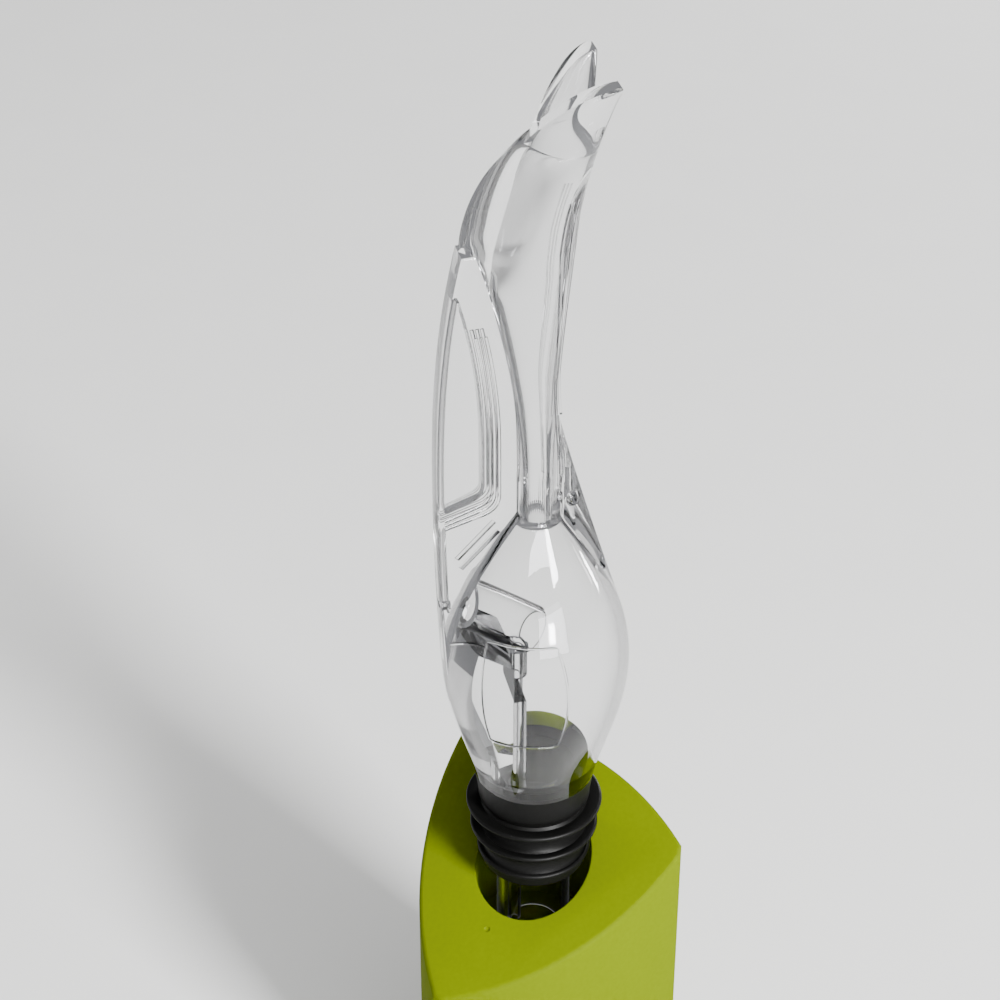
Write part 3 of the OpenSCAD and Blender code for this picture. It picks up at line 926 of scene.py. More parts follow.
@dataclass
class ClearBody:
    """Bulb, neck, spout and fin: the two welded halves, drawn as the one clear body that they look like."""

    shape: PourerShape
    section_n: int = 40
    ring_n: int = 64
    hood_step: int = 4
    ear_n: int = 28
    turn_n: int = 160
    bulb_n: int = 60
    line_n: int = 48
    curve_n: int = 40
    short_n: int = 24
    neck_lap: float = 0.9
    rim_proud: float = 0.04
    rim_at: tuple[float, ...] = (0.06, 0.5, 0.94)
    edge_r: float = 0.45
    web_root: float = 1.9
    web_edge: float = 0.2
    line_r: float = 0.22
    panel_low: float = 22.2
    panel_high: float = 41.0
    panel_x: float = -4.9
    panel_half: float = 5.0
    panel_bow: float = 1.3
    panel_corner: float = 0.9
    panel_tall: float = 0.97
    panel_n: int = 16
    foot_turn: Pair = (-178.0, -140.0)
    foot_z: Pair = (34.9, 39.6)
    foot_n: int = 20
    land_fade: float = 4.0
    land_round: float = 0.15
    chamber_corner: float = 1.6
    chamber_round: float = 0.35
    air_lean: float = 1.0
    frame_corner: float = 1.4
    groove_r: float = 0.3
    groove_more: float = 1.4
    seam_ends: Pair = (-2.0, 4.0)
    mark_deep: float = 0.55
    inlet_over: float = 1.0
    inlet_n: int = 32
    vent_n: int = 48
    least_run: float = 0.1
    seam_shares: tuple[float, ...] = (0.18, 0.225, 0.27)
    seam_r: float = 0.22
    web_edge_r: float = 1.1
    marks: tuple[tuple[Point, Point, float], ...] = (
        ((6.9, -6.1, 124.2), (0.51, -0.80, -0.30), 1.3),
        ((5.0, -1.4, 60.9), (0.11, -0.99, 0.05), 1.1),
        ((10.3, -1.2, 47.7), (0.57, -0.80, 0.20), 1.2),
    )

    def spout_ring(self, z: float) -> list[Point]:
        """Points of one half section of the spout, outside then inside, with softly rounded rims.

        Args:
            z: height of the section.

        Returns:
            The ring, from the outside's back to its front and back along the inside.
        """
        s = self.shape
        wall, back_wall, half = s.wall_at(z), s.back_wall_at(z), s.spout_half(z)
        gap_b, gap_f = s.back_gap(z), s.front_gap(z)
        back, front = s.spout_back(z), s.spout_front(z)
        outer_b, outer_f = (back, gap_b), (front, gap_f)
        inner_b = (back + back_wall - gap_b, 0.0) if gap_b < back_wall else (back, gap_b - back_wall)
        inner_f = (front - wall + gap_f, 0.0) if gap_f < wall else (front, gap_f - wall)

        def bowed(a: Pair, b: Pair, mid: float,
                  start: float, end: float) -> list[Pair]:
            """Line from one end of the section to the other.

            Args:
                a: where it starts.
                b: where it ends.
                mid: its distance from the plane of symmetry in the middle.
                start: how pointed its start is, from 0 to 1.
                end: how pointed its end is, from 0 to 1.

            Returns:
                Points along it.
            """
            row = []
            for u in steps(0.0, 1.0, self.section_n):
                along = mix(ease(u), u, mix(start, end, u))
                bow = (mid - (a[1] + b[1]) / 2) * math.sin(math.pi * u)
                row.append((mix(a[0], b[0], along), mix(a[1], b[1], u) + bow))
            return row

        def rim(a: Pair, b: Pair, way: float,
                gap: float) -> list[Pair]:
            """Points across a rim from a to b, a little proud in the middle."""
            proud = way * self.rim_proud * wall * min(1.0, gap / wall)
            return [(mix(a[0], b[0], t) + proud * math.sin(math.pi * t), mix(a[1], b[1], t))
                    for t in self.rim_at]

        room = front - back
        ring = bowed(outer_b, outer_f, half, s.keel(z), 0.0)
        ring += rim(outer_f, inner_f, 1.0, min(gap_f, room))
        ring += bowed(inner_f, inner_b, half - wall, 0.0, s.valley(z))
        ring += rim(inner_b, outer_b, -1.0, min(gap_b, room))
        return [(x, y, z) for x, y in ring]

    def spout(self) -> Mesh:
        """Both halves of the spout, joined without a wall between them.

        Returns:
            A closed mesh.
        """
        s = self.shape
        heights = steps(s.dome_z, s.hood_z, self.ring_n)[:-1]
        heights += [mix(s.hood_z, s.mouth_z, math.sin(math.radians(a))) for a in range(0, 90, self.hood_step)]
        heights += [mix(s.mouth_z, s.tip_z, 1 - (1 - t) ** s.rim_power)
                    for t in steps(0.0, 1.0, self.ear_n)]
        bm = Workshop.loft([self.spout_ring(z) for z in heights])
        inner = [f for f in bm.faces if all(abs(v.co.y) < FLAT for v in f.verts)]
        bmesh.ops.delete(bm, geom=inner, context="FACES_ONLY")
        bmesh.ops.delete(bm, geom=[e for e in bm.edges if not e.link_faces], context="EDGES")
        bmesh.ops.mirror(bm, geom=bm.verts[:] + bm.edges[:] + bm.faces[:], axis="Y", merge_dist=WELD)
        bmesh.ops.recalc_face_normals(bm, faces=bm.faces)
        return bm

    def bulb(self) -> Mesh:
        """Bulb with its wine chamber, the seat of the inlet tube and the throat.

        Returns:
            A closed mesh.
        """
        s = self.shape
        neck_top = mix(s.dome_z, s.throat_z, self.neck_lap)
        seat_top = s.stopper_foot + s.stem_hold
        profile = [(s.spigot_r, s.stopper_foot), (s.spigot_r, s.sleeve_h)]
        profile += [(s.bulb_at(z), z) for z in steps(s.sleeve_h, s.dome_z, self.bulb_n)]
        profile += [(s.neck_r, neck_top), (s.throat_r, neck_top), (s.throat_r, s.cavity_top + s.dome_rise)]
        profile += [(s.cavity_at(z), z)
                    for z in steps(s.cavity_top, s.cavity_z + s.cavity_flare, self.bulb_n)]
        profile += [(s.bore_r, s.cavity_z), (s.bore_r, seat_top), (s.stem_r + s.fit, seat_top),
                    (s.stem_r + s.fit, s.stopper_foot)]
        return Workshop.spin(profile, self.turn_n)

    def fin(self) -> Mesh:
        """Fin behind the neck, with its rounded back edge.

        Returns:
            A closed mesh.
        """
        s = self.shape
        row = steps(s.bulb_z, s.hood_z, self.ring_n)
        outline = [(s.fin_back(z), z) for z in row] + [(s.fin_front(z), z) for z in reversed(row)]
        return Workshop.slab(outline, s.fin_half, self.edge_r)

    def front_plate(self, edge: Profile, half: float, round_r: float) -> Mesh:
        """Upright plate on the front of the spout and the bulb.

        Args:
            edge: (x, z) points of its front edge, from below.
            half: half its thickness.
            round_r: radius of its rounded rims.

        Returns:
            A closed mesh that reaches back into the wall behind it.
        """
        back = [(self.shape.web_back(z), z) for _, z in edge]
        return Workshop.slab(list(edge) + back[::-1], half, round_r)

    def web(self) -> Mesh:
        """Web in front of the neck, thick at its root and thin at its edge.

        Returns:
            A closed mesh.
        """
        s = self.shape
        front = [(s.web_front(z), z) for z in steps(s.web_foot_z, s.web_top_z, self.curve_n)]
        bm = self.front_plate(front, s.web_half, self.web_edge_r)
        for vert in bm.verts:
            root, edge = s.web_back(vert.co.z), s.web_front(vert.co.z)
            out = share(vert.co.x, root, max(edge, root + self.least_run))
            vert.co.y *= mix(self.web_root, self.web_edge, out)
        return bm

    def land(self) -> Mesh:
        """Narrow land where the two halves meet along the spout's front.

        Returns:
            A closed mesh.
        """
        s = self.shape
        low = s.web_top_z - s.fin_root
        edge = [(s.spout_front(z) + s.land_proud * (1.0 - share(z, low, s.notch_z) ** self.land_fade), z)
                for z in steps(low, s.notch_z, self.line_n)]
        return self.front_plate(edge, s.land_half, self.land_round)

    def seam(self) -> list[Mesh]:
        """Cutters of the fine lines beside the land, on both halves of the spout's front.

        Returns:
            One bar for each line.
        """
        s = self.shape
        made = []
        for part in self.seam_shares:
            path = []
            u = 1.0 - part
            for z in steps(s.throat_z + self.seam_ends[0], s.notch_z + self.seam_ends[1], self.line_n):
                along = mix(ease(u), u, s.keel(z) * (1.0 - u))
                x = mix(s.spout_back(z), s.spout_front(z), along)
                path.append((x, s.spout_half(z) * math.sin(math.pi * u), z))
            made += [Workshop.cord([(x, side * y, z) for x, y, z in path], self.seam_r) for side in (-1, 1)]
        return made

    def large_chamber(self) -> Mesh:
        """Long D-shaped chamber inside the fin.

        Returns:
            A closed mesh to cut with.
        """
        s = self.shape
        reach = self.chamber_corner
        front_z = s.chamber_z + s.chamber_rise
        outline = [(s.chamber_back(z), z) for z in steps(s.chamber_z + reach, s.chamber_top_z, self.line_n)]
        outline += [(s.chamber_front(z), z) for z in steps(s.chamber_top_z, front_z + reach, self.line_n)]
        corner, low = (s.chamber_front(front_z), front_z), (s.chamber_back(s.chamber_z), s.chamber_z)
        along = reach / math.dist(corner, low)
        near = tuple(mix(a, b, along) for a, b in zip(corner, low))
        far = tuple(mix(b, a, along / 2) for a, b in zip(corner, low))
        outline += bend(outline[-1], corner, near)[1:]
        outline += bend(far, low, outline[0])[:-1]
        return Workshop.slab(outline, s.fin_half - s.fin_skin, self.chamber_round)

    def small_chamber(self) -> Mesh:
        """Air chamber between the fin's strip and the bulb's shoulder.

        Returns:
            A closed mesh to cut with.
        """
        s = self.shape
        low, top = s.bulb_z + s.air_low_rise, s.chamber_z - s.strip_w
        outline = [(s.chamber_back(z), z) for z in steps(low, top, self.short_n)]
        outline += [(min(-s.bulb_at(z) - s.air_wall, s.chamber_back(z) + s.air_least), z)
                    for z in steps(top + self.air_lean, low, self.short_n)]
        return Workshop.slab(outline, s.fin_half - s.fin_skin)

    def frame_line(self, distance: float) -> list[Pair]:
        """One line of the stepped frame below and in front of the large chamber.

        Args:
            distance: how far outside the chamber it runs.

        Returns:
            Points (x, z) from the fin's back edge round the corner and up the front.
        """
        s = self.shape
        reach = self.frame_corner + distance / 2
        front_z = s.chamber_z + s.chamber_rise
        start = (s.chamber_back(s.chamber_z), s.chamber_z - distance)
        corner = (s.chamber_front(front_z) + distance, front_z - distance)
        along = reach / math.dist(corner, start)
        up = [(s.chamber_front(z) + distance, z)
              for z in steps(corner[1] + reach, s.chamber_top_z - s.groove_top_drop, self.curve_n)]
        near = tuple(mix(a, b, along) for a, b in zip(corner, start))
        return [start] + bend(near, corner, up[0])[:-1] + up

    def both_faces(self, line: Profile, radius: float, deep: float) -> list[Mesh]:
        """Round bars along a line on both faces of the fin, to cut grooves with.

        Args:
            line: points (x, z) of the line.
            radius: radius of the bars.
            deep: how deep they reach into the faces.

        Returns:
            One bar for each face.
        """
        y = self.shape.fin_half + radius - deep
        return [Workshop.cord([(x, side * y, z) for x, z in line], radius) for side in (-1, 1)]

    def grooves(self) -> list[Mesh]:
        """Cutters of the stepped frame's lines and of the slanted slot beside the bulb's shoulder.

        Returns:
            One bar for each groove.
        """
        s = self.shape
        made = []
        for i in range(1, s.groove_n + 1):
            line = self.frame_line(i * s.groove_pitch)
            made += self.both_faces(line, self.groove_r, s.groove_deep * self.groove_more)
        ends = [(-s.bulb_at(z) - out, z) for z, out in (s.slot_top, s.slot_low)]
        made += self.both_faces(ends, s.slot_w / 2, s.groove_deep)
        return made

    def inner_rib(self) -> Mesh:
        """Rib between the air duct and the bulb's foot, with its groove for the vent tube left to cut.

        Returns:
            A closed mesh.
        """
        s = self.shape
        side = -s.vent_x - s.boss_r - s.rib_gap
        foot = s.cavity_z + s.cavity_flare
        inset = s.bulb_wall / 2
        wall = [(-s.bulb_at(z), z) for z in steps(foot, s.dome_z, self.curve_n)]
        ledge = s.boss_foot - s.rib_gap
        outline = [(-s.vent_x, s.cavity_z), (-s.vent_x, ledge), (side, ledge), (side, s.under_duct(side))]
        far = next(((x, z) for x, z in reversed(wall) if z < s.under_duct(x)), wall[-1])
        outline += [(far[0], s.under_duct(far[0]))]
        outline += [p for p in reversed(wall) if p[1] < far[1]]
        outline += [(-s.bore_r - inset, s.cavity_z)]
        within = [(0.0, s.cavity_z)]
        within += [(s.bulb_at(z) - inset, z) for z in steps(s.cavity_z, s.dome_z, self.curve_n)]
        keep = Workshop.spin(within + [(0.0, s.dome_z)], self.turn_n)
        return Workshop.combine(Workshop.slab(outline, s.rib_half), [(Cut.KEEP, keep)])

    def panel_line(self) -> Mesh:
        """Thin raised outline of the bare panel on the bulb's side.

        Returns:
            A closed bar.
        """
        s = self.shape
        middle = (self.panel_low + self.panel_high) / 2
        tall = (self.panel_high - self.panel_low) / 2
        corner = self.panel_corner
        side = []
        for t in steps(-1.0, 1.0, self.short_n):
            wide = self.panel_half + self.panel_bow * (1.0 - t * t)
            side.append((wide, middle + tall * t * self.panel_tall))
        right = [(self.panel_x + w, z) for w, z in side]
        left = [(self.panel_x - w, z) for w, z in reversed(side)]
        top = [(x, self.panel_high) for x in steps(right[-1][0] - corner, left[0][0] + corner, self.panel_n)]
        low = [(x, self.panel_low) for x in steps(left[-1][0] + corner, right[0][0] - corner, self.panel_n)]
        path = [(x, -math.sqrt(s.bulb_at(z) ** 2 - x * x), z) for x, z in right + top + left + low]
        return Workshop.cord(path, self.line_r, True)

    def foot_line(self) -> Mesh:
        """Thin raised line on the bulb from the fin's foot to the panel's corner.

        Returns:
            A closed bar.
        """
        s = self.shape
        path = []
        for t in steps(0.0, 1.0, self.foot_n):
            turn, z = math.radians(mix(*self.foot_turn, t)), mix(*self.foot_z, math.sin(math.pi / 2 * t))
            path.append((s.bulb_at(z) * math.cos(turn), s.bulb_at(z) * math.sin(turn), z))
        return Workshop.cord(path, self.line_r)

    def build(self, material: bpy.types.Material) -> bpy.types.Object:
        """Builds and dresses the clear body.

        Args:
            material: its clear finish.

        Returns:
            The finished piece.
        """
        s = self.shape
        air_hole = Workshop.rod(s.fin_half - s.fin_skin - s.hole_margin, 0.0, s.air_way)
        Workshop.place(air_hole, s.duct_place())
        inlet = Workshop.rod(s.inlet_r, -s.fin_reach - self.inlet_over, -s.fin_reach + 2 * s.fin_border,
                             self.inlet_n)
        Workshop.place(inlet, Matrix.Translation((0, 0, s.inlet_z)) @ Matrix.Rotation(math.pi / 2, 4, "Y"))
        vent_way = Workshop.rod(s.vent_r + s.fit, 0.0, s.duct_z, self.vent_n)
        Workshop.place(vent_way, Matrix.Translation((-s.vent_x, 0, 0)))
        hollows = [self.large_chamber(), self.small_chamber()] + self.grooves()
        fin = Workshop.combine(self.fin(), [(Cut.REMOVE, tool) for tool in hollows])
        rib = Workshop.combine(self.inner_rib(), [(Cut.REMOVE, vent_way)])
        joined = [self.spout(), fin, self.web(), self.land(), rib, self.panel_line(), self.foot_line()]
        removed = [air_hole, inlet] + self.seam()
        removed += [Workshop.dimple(middle, normal, radius, self.mark_deep * radius)
                    for middle, normal, radius in self.marks]
        solid = Workshop.combine(self.bulb(), [(Cut.JOIN, tool) for tool in joined]
                                 + [(Cut.REMOVE, tool) for tool in removed])
        Workshop.place(solid, Matrix.Translation((0, 0, s.rim_z)))
        return Workshop.finish("clear_body", solid, Body.POURER, "clear_plastic", material,
                               ("near_shell", "far_shell"))


@dataclass
class InnerTubes:
    """Air duct, vent tube and inlet tube."""

    shape: PourerShape
    duct_lip: float = 0.2
    vent_lip: float = 0.15
    stem_lip: float = 0.3
    over: float = 1.0
    duct_n: int = 96
    vent_n: int = 48
    room_n: int = 40

    def build_duct(self, material: bpy.types.Material) -> bpy.types.Object:
        """Sloping air duct with its square end and the boss for the vent tube.

        Args:
            material: its clear finish.

        Returns:
            The finished piece.
        """
        s = self.shape
        place = s.duct_place()
        far = s.bulb_r + s.duct_r
        to_vent = Matrix.Translation((-s.vent_x, 0, 0))
        lip = self.duct_lip
        profile = [(0.0, 0.0), (s.duct_r - lip, 0.0), (s.duct_r, lip), (s.duct_r, far), (0.0, far)]
        tube = Workshop.place(Workshop.spin(profile, self.duct_n), place)
        boss = Workshop.place(Workshop.rod(s.boss_r, s.boss_foot, s.lip[1] + s.duct_wall), to_vent)
        bore = Workshop.rod(s.duct_r - s.duct_wall, -self.over, far + s.duct_r, self.duct_n)
        Workshop.place(bore, place)
        socket = Workshop.rod(s.vent_r + s.fit, s.boss_foot - self.over, s.lip[1] + 2 * s.duct_wall,
                              self.vent_n)
        Workshop.place(socket, to_vent)
        room = [(0.0, s.boss_foot)]
        room += [(s.cavity_at(z) - s.fit, z) for z in steps(s.boss_foot, s.cavity_top, self.room_n)]
        keep = Workshop.spin(room + [(0.0, s.cavity_top)])
        jobs = ((Cut.JOIN, boss), (Cut.REMOVE, bore), (Cut.REMOVE, socket), (Cut.KEEP, keep))
        solid = Workshop.combine(tube, jobs)
        Workshop.place(solid, Matrix.Translation((0, 0, s.rim_z)))
        return Workshop.finish("duct", solid, Body.POURER, "clear_plastic", material, ("air_duct",))

    def build_vent(self, material: bpy.types.Material) -> bpy.types.Object:
        """Thin air tube that hangs from the duct.

        Args:
            material: its clear finish.

        Returns:
            The finished piece.
        """
        s = self.shape
        low, high = s.stem_foot + s.vent_rise, s.lip[1]
        lip = self.vent_lip
        tube = Workshop.spin([(s.vent_bore_r, low), (s.vent_r - lip, low), (s.vent_r, low + lip),
                              (s.vent_r, high - lip), (s.vent_r - lip, high), (s.vent_bore_r, high)],
                             self.vent_n)
        Workshop.place(tube, Matrix.Translation((-s.vent_x, 0, s.rim_z)))
        return Workshop.finish("vent", tube, Body.POURER, "clear_plastic", material, ("vent_tube",))

    def build_stem(self, material: bpy.types.Material) -> bpy.types.Object:
        """Inlet tube that goes down into the bottle.

        Args:
            material: its clear finish.

        Returns:
            The finished piece.
        """
        s = self.shape
        low, high = s.stem_foot, s.stopper_foot + s.stem_hold - s.fit
        lip = self.stem_lip
        tube = Workshop.spin([(s.bore_r, low + lip), (s.bore_r + lip, low), (s.stem_r - lip, low),
                              (s.stem_r, low + lip), (s.stem_r, high), (s.bore_r, high)])
        Workshop.place(tube, Matrix.Translation((0, 0, s.rim_z)))
        return Workshop.finish("inlet_tube", tube, Body.POURER, "clear_plastic", material, ("stem",))


@dataclass
class Stopper:
    """Soft stopper with its sleeve and three upswept flanges."""

    shape: PourerShape
    flange_r: tuple[float, float, float] = (11.3, 10.65, 9.5)
    pitch: float = 5.0
    rim: float = 0.9
    root: float = 2.0
    sweep: float = 0.9
    core_r: float = 8.6
    lip_steps: int = 6
    under_drop: float = 0.5
    under_out: float = 0.25
    over_drop: float = 0.1
    over_out: float = 0.35
    over_rise: float = 0.35
    foot_lip: float = 0.3
    sleeve_rise: float = 0.6
    sleeve_n: int = 8
    turn_n: int = 160
    sharp: float = 50.0
    cling: float = 0.02

    def flange(self, radius: float, z: float) -> list[Pair]:
        """Half section of one flange, from its lower root to its upper root, with a round lip.

        Args:
            radius: radius of the flange.
            z: height of its lip.

        Returns:
            Points of radius and height.
        """
        lip_r = self.rim / 2
        middle = radius - lip_r
        low, high = z - self.sweep - self.root / 2, z - self.sweep + self.root / 2
        under = [(self.core_r, low - self.under_drop), (self.core_r + self.under_out, low)]
        lip = [(middle + lip_r * math.cos(a), z + lip_r * math.sin(a))
               for a in (math.pi * (i / self.lip_steps - 0.5) for i in range(self.lip_steps + 1))]
        over = [(self.core_r + self.over_out, high - self.over_drop), (self.core_r, high + self.over_rise)]
        return under + lip + over

    def build(self, material: bpy.types.Material, inner: bpy.types.Material) -> bpy.types.Object:
        """Builds and dresses the stopper.

        Args:
            material: its finish outside.
            inner: its finish where it clings to the clear body.

        Returns:
            The finished piece.
        """
        s = self.shape
        inside = s.spigot_r - self.cling
        row = [(inside, s.sleeve_h + self.cling), (inside, s.stopper_foot),
               (self.core_r - self.foot_lip, s.stopper_foot), (self.core_r, s.stopper_foot + self.foot_lip)]
        for i in (2, 1, 0):
            row += self.flange(self.flange_r[i], -i * self.pitch)
        row += [(s.bulb_at(z), z) for z in steps(self.root / 2 + self.sleeve_rise, s.sleeve_h, self.sleeve_n)]
        row += [(s.bulb_at(s.sleeve_h) - 2 * self.cling, s.sleeve_h + self.cling)]
        bm = Workshop.spin(row, self.turn_n)
        Workshop.place(bm, Matrix.Translation((0, 0, s.rim_z)))
        piece = Workshop.finish("soft_stopper", bm, Body.POURER, "silicone", material, ("stopper",),
                                self.sharp)
        piece.data.materials.append(inner)
        for poly in piece.data.polygons:
            height = poly.center.z / MM - s.rim_z
            if poly.center.xy.length / MM < s.spigot_r or height > s.sleeve_h + self.cling / 4:
                poly.material_index = 1
        return piece


@dataclass
class Stand:
    """Three-sided stand with bowed sides, a sloping top and the socket for the pourer."""

    corner: float = 26.3
    bow: float = 5.3
    blunt: float = 0.6
    height: float = 62.0
    slope: float = 28.0
    high_side: float = 53.5
    first_corner: float = 99.5
    middle: Pair = (-0.5, 0.9)
    wall: float = 2.2
    socket_r: float = 9.8
    socket_z: float = 46.35
    socket_floor: float = 2.0
    rib: float = 1.8
    foot: float = 0.5
    edge_r: float = 0.8
    rim_r: float = 0.25
    side_n: int = 40
    edge_n: int = 5
    edge_turn: float = 40.0
    rim_n: int = 4
    rim_near: float = 0.02
    tube_n: int = 128
    socket_n: int = 160
    rib_short: float = 2.5
    over: float = 1.0
    sharp: float = 30.0
    gate_at: Pair = (-10.1, -8.1)
    gate_r: float = 0.55
    gate_deep: float = 0.3

    def plan(self, inset: float) -> list[Pair]:
        """Outline of the stand's plan, drawn in by an inset.

        Args:
            inset: distance in from the outside.

        Returns:
            Points in X and Y, once round.
        """
        bowed_r = ((self.corner * math.sqrt(3) / 2) ** 2 + self.bow ** 2) / (2 * self.bow)
        reach = self.corner / 2 + self.bow - bowed_r
        limit = self.corner - self.blunt - 2 * inset
        side_r = bowed_r - inset
        row: list[Pair] = []
        # half the angle of one side, seen from its own circle's centre, up to the blunted corner
        turn = math.acos(max(-1.0, min(1.0, (limit ** 2 - reach ** 2 - side_r ** 2) / (2 * reach * side_r))))
        for side in range(3):
            towards = math.radians(self.first_corner + 60.0 + 120.0 * side)
            for i in range(self.side_n + 1):
                a = mix(-turn, turn, i / self.side_n)
                x, y = reach + side_r * math.cos(a), side_r * math.sin(a)
                row.append((self.middle[0] + x * math.cos(towards) - y * math.sin(towards),
                            self.middle[1] + x * math.sin(towards) + y * math.cos(towards)))
        return row

    def normal(self) -> Vector:
        """Upward normal of the sloping top."""
        a, b = math.radians(self.slope), math.radians(self.high_side)
        return Vector((-math.sin(a) * math.cos(b), -math.sin(a) * math.sin(b), math.cos(a)))

    def on_rim(self, at: Vector) -> bool:
        """Whether a point lies on the socket's rim in the sloping top."""
        above = (at - Vector((0, 0, self.height))).dot(self.normal())
        return abs(above) < self.rim_near and abs(at.xy.length - self.socket_r) < self.rim_near

    def column(self, inset: float, low: float, drop: float) -> Mesh:
        """Solid column on the plan from a height up to the sloping top.

        Args:
            inset: distance in from the outside.
            low: height of its foot.
            drop: distance of its top below the stand's top.

        Returns:
            A closed mesh.
        """
        bm = bmesh.new()
        face = bm.faces.new([bm.verts.new((x, y, low)) for x, y in self.plan(inset)])
        made = bmesh.ops.extrude_face_region(bm, geom=[face])
        moved = [g for g in made["geom"] if isinstance(g, bmesh.types.BMVert)]
        bmesh.ops.translate(bm, verts=moved, vec=(0, 0, 2 * self.height))
        cut = bmesh.ops.bisect_plane(bm, geom=bm.verts[:] + bm.edges[:] + bm.faces[:], clear_outer=True,
                                     plane_co=(0, 0, self.height - drop), plane_no=self.normal())
        rim = [g for g in cut["geom_cut"] if isinstance(g, bmesh.types.BMEdge)]
        bmesh.ops.contextual_create(bm, geom=rim)
        bmesh.ops.recalc_face_normals(bm, faces=bm.faces)
        return bm

    def rounded_column(self) -> Mesh:
        """Outside of the stand with its rounded top and bottom edges.

        Returns:
            A closed mesh.
        """
        bm = self.column(0.0, self.foot, 0.0)
        least = math.radians(self.edge_turn)
        rims = [e for e in bm.edges if len(e.link_faces) == 2 and e.calc_face_angle() > least]
        bmesh.ops.bevel(bm, geom=rims, offset=self.edge_r, segments=self.edge_n, profile=0.5, affect="EDGES",
                        material=-1, clamp_overlap=True)
        return bm

    def gate_mark(self) -> Mesh:
        """Cutter of the small dimple that the mould's gate leaves in the sloping top.

        Returns:
            A closed mesh.
        """
        normal = self.normal()
        x, y = self.gate_at
        on_top = Vector((x, y, self.height - (x * normal.x + y * normal.y) / normal.z))
        return Workshop.dimple(on_top, normal, self.gate_r, self.gate_deep)

    def ribs(self) -> list[Mesh]:
        """Ribs between the socket and the three corners.

        Returns:
            One block for each corner.
        """
        row = []
        top = self.height - self.corner * math.tan(math.radians(self.slope)) - self.wall
        for i in range(3):
            low = (self.socket_r + self.wall / 2, -self.rib / 2, self.socket_z - self.socket_floor)
            high = (self.corner - self.rib_short * self.wall, self.rib / 2, max(top, self.socket_z))
            turn = Matrix.Rotation(math.radians(self.first_corner + 120 * i), 4, "Z")
            row.append(Workshop.place(Workshop.block(low, high), turn))
        return row

    def build(self, material: bpy.types.Material) -> bpy.types.Object:
        """Builds and dresses the stand.

        Args:
            material: its coloured finish.

        Returns:
            The finished piece.
        """
        lean = self.wall / math.cos(math.radians(self.slope))
        tube = Workshop.rod(self.socket_r + self.wall, self.socket_z - self.socket_floor, 2 * self.height,
                            self.tube_n)
        under_top = self.column(self.wall / 2, 2 * self.foot, lean / 2)
        post = Workshop.combine(tube, ((Cut.KEEP, under_top),))
        bore = Workshop.rod(self.socket_r, self.socket_z, 2 * self.height, self.socket_n)
        jobs = [(Cut.REMOVE, self.column(self.wall, self.foot - self.over, lean)), (Cut.JOIN, post)]
        jobs += [(Cut.JOIN, rib) for rib in self.ribs()]
        jobs += [(Cut.REMOVE, bore), (Cut.REMOVE, self.gate_mark())]
        solid = Workshop.combine(self.rounded_column(), jobs)
        rim = [e for e in solid.edges if all(self.on_rim(v.co) for v in e.verts)]
        bmesh.ops.bevel(solid, geom=rim, offset=self.rim_r, segments=self.rim_n, profile=0.5, affect="EDGES",
                        material=-1, clamp_overlap=True)
        return Workshop.finish("stand_body", solid, Body.STAND, "green_plastic", material, ("stand_shell",),
                               self.sharp)


@dataclass(frozen=True)
class Lamp:
    """One soft rectangular lamp: its place, width and height in metres, and its power in watts."""

    name: str
    place: Point
    size: Pair
    watts: float
    glint_only: bool = True
    target: Point = (0.0, 0.0, 0.11)

    def hang(self) -> None:
        """Puts the lamp into the scene, facing its target."""
        data = bpy.data.lights.new(self.name, "AREA")
        data.shape = "RECTANGLE"
        data.size, data.size_y = self.size
        data.energy = self.watts
        made = bpy.data.objects.new(self.name, data)
        made.location = self.place
        made.rotation_euler = (Vector(self.target) - Vector(self.place)).to_track_quat("-Z", "Y").to_euler()
        made.visible_camera = False
        made.visible_diffuse = not self.glint_only
        bpy.context.scene.collection.objects.link(made)


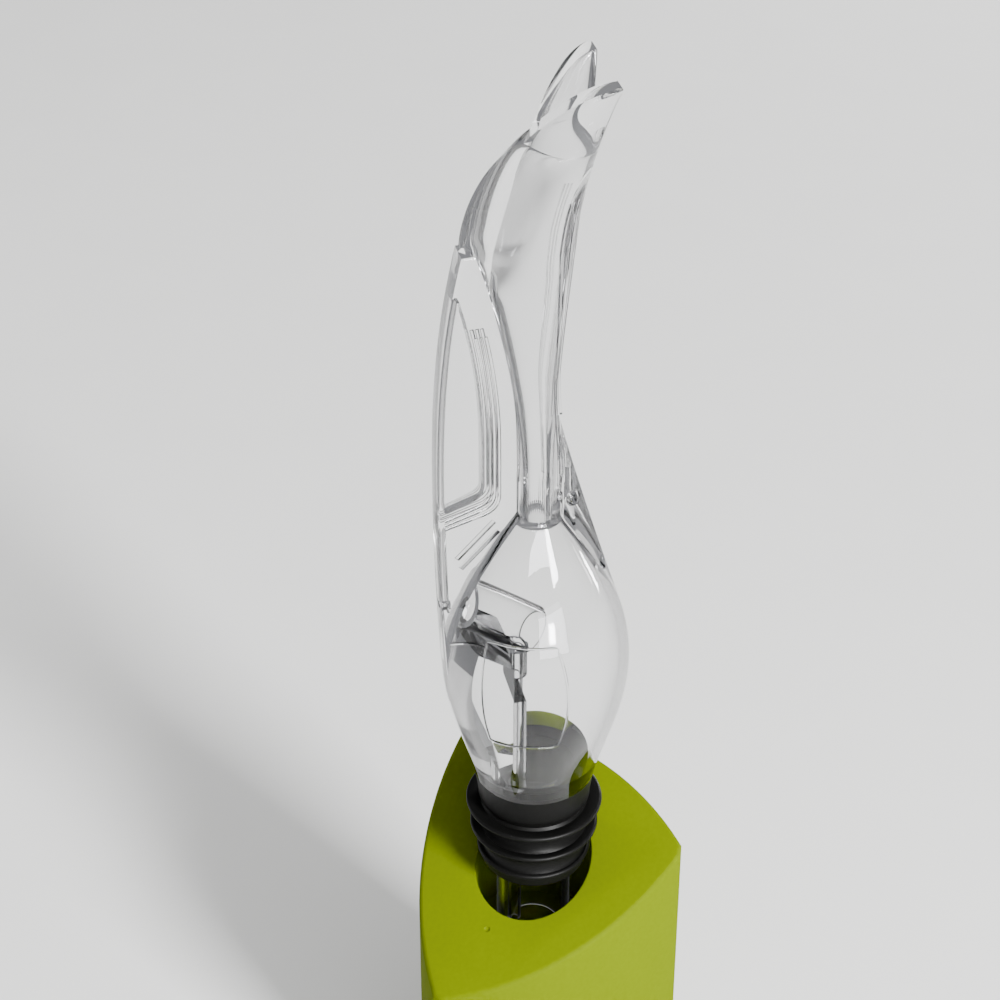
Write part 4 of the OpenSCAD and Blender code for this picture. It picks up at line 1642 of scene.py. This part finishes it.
@dataclass
class Studio:
    """Pale floor, soft lights and the camera at the photograph's angle."""

    camera_at: Point = (-0.0847, -0.3164, 0.3635)
    pitch: float = 34.8
    heading: float = -14.0
    lens: float = 93.6
    sensor: float = 36.0
    near: float = 0.01
    floor_size: float = 8.0
    floor_tone: Colour = (0.72, 0.72, 0.71, 1.0)
    floor_shade: Colour = (0.69, 0.69, 0.68, 1.0)
    floor_grain: float = 40.0
    floor_rough: float = 0.9
    floor_gloss: float = 0.1
    sky_low: Colour = (0.05, 0.05, 0.055, 1.0)
    sky_high: Colour = (0.44, 0.44, 0.45, 1.0)
    sky_span: Pair = (0.05, 0.8)
    sky_strength: float = 1.0
    lamps: tuple[Lamp, ...] = (
        Lamp("key", (0.42, -0.95, 0.62), (0.26, 0.26), 52.0, False),
        Lamp("panel", (0.072, -0.415, 0.784), (0.50, 0.66), 3.0, False),
        Lamp("low_window", (0.10, -0.70, 0.18), (0.46, 0.22), 9.0),
        Lamp("spot", (0.084, -0.69, 0.198), (0.10, 0.10), 10.0),
        Lamp("right_glint", (0.70, 0.10, 0.08), (0.05, 0.08), 2.0),
        Lamp("high_strip", (-0.07, -0.60, 0.43), (0.55, 0.05), 4.5),
        Lamp("left_strip", (-0.75, 0.55, 0.35), (0.12, 0.6), 3.5, False),
        Lamp("right_strip", (0.65, 0.75, 0.40), (0.15, 0.6), 8.0, False),
    )

    def camera(self) -> None:
        """Sets up the camera."""
        data = bpy.data.cameras.new("camera")
        data.lens = self.lens
        data.sensor_width = self.sensor
        data.clip_start = self.near
        made = bpy.data.objects.new("camera", data)
        made.location = self.camera_at
        made.rotation_euler = (math.radians(90.0 - self.pitch), 0.0, math.radians(self.heading))
        bpy.context.scene.collection.objects.link(made)
        bpy.context.scene.camera = made

    def floor(self) -> None:
        """Lays the pale floor."""
        bm = bmesh.new()
        bmesh.ops.create_grid(bm, x_segments=1, y_segments=1, size=self.floor_size)
        made = Workshop.as_object("floor", bm)
        material = bpy.data.materials.new("floor_paper")
        material.use_nodes = True
        tree = material.node_tree
        shader = tree.nodes["Principled BSDF"]
        coord = tree.nodes.new("ShaderNodeTexCoord")
        grain = tree.nodes.new("ShaderNodeTexNoise")
        grain.inputs["Scale"].default_value = self.floor_grain
        tree.links.new(coord.outputs["Object"], grain.inputs["Vector"])
        NodeGroups.blend(tree, self.floor_tone, self.floor_shade, grain.outputs["Fac"],
                         shader.inputs["Base Color"])
        shader.inputs["Roughness"].default_value = self.floor_rough
        shader.inputs["Specular IOR Level"].default_value = self.floor_gloss
        made.data.materials.append(material)

    def sky(self) -> None:
        """Sets the surrounding light: dim round the sides and bright overhead."""
        world = bpy.data.worlds.new("studio")
        world.use_nodes = True
        tree = world.node_tree
        coord = tree.nodes.new("ShaderNodeTexCoord")
        split = tree.nodes.new("ShaderNodeSeparateXYZ")
        ramp = tree.nodes.new("ShaderNodeValToRGB")
        for stop, at, tone in zip(ramp.color_ramp.elements, self.sky_span, (self.sky_low, self.sky_high)):
            stop.position, stop.color = at, tone
        sky = tree.nodes["Background"]
        sky.inputs["Strength"].default_value = self.sky_strength
        tree.links.new(coord.outputs["Generated"], split.inputs["Vector"])
        tree.links.new(split.outputs["Z"], ramp.inputs["Fac"])
        tree.links.new(ramp.outputs["Color"], sky.inputs["Color"])
        bpy.context.scene.world = world

    def build(self) -> None:
        """Sets up the whole studio."""
        self.camera()
        self.floor()
        self.sky()
        for lamp in self.lamps:
            lamp.hang()


def dress_node(name: str, material: bpy.types.Material) -> None:
    """Gives a CAD node that stays on show its finish.

    Args:
        name: name of the node.
        material: its finish.
    """
    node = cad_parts[name]
    node.data.materials.clear()
    node.data.materials.append(material)


def main() -> None:
    """Builds the studio and the pieces in order."""
    logging.basicConfig(level=logging.INFO)
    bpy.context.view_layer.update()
    Studio().build()
    shape = PourerShape()
    acrylic = ClearAcrylic().material()
    lime = ColouredPlastic().material()
    ClearBody(shape).build(acrylic)
    tubes = InnerTubes(shape)
    tubes.build_duct(acrylic)
    tubes.build_vent(acrylic)
    tubes.build_stem(acrylic)
    Stopper(shape).build(SOFT_SILICONE.material(), WETTED_SILICONE.material())
    Stand().build(lime)
    dress_node("stand_base", lime)
    dress_node("foot_pad", PAD_RUBBER.material())


if __name__ == "__main__":
    main()
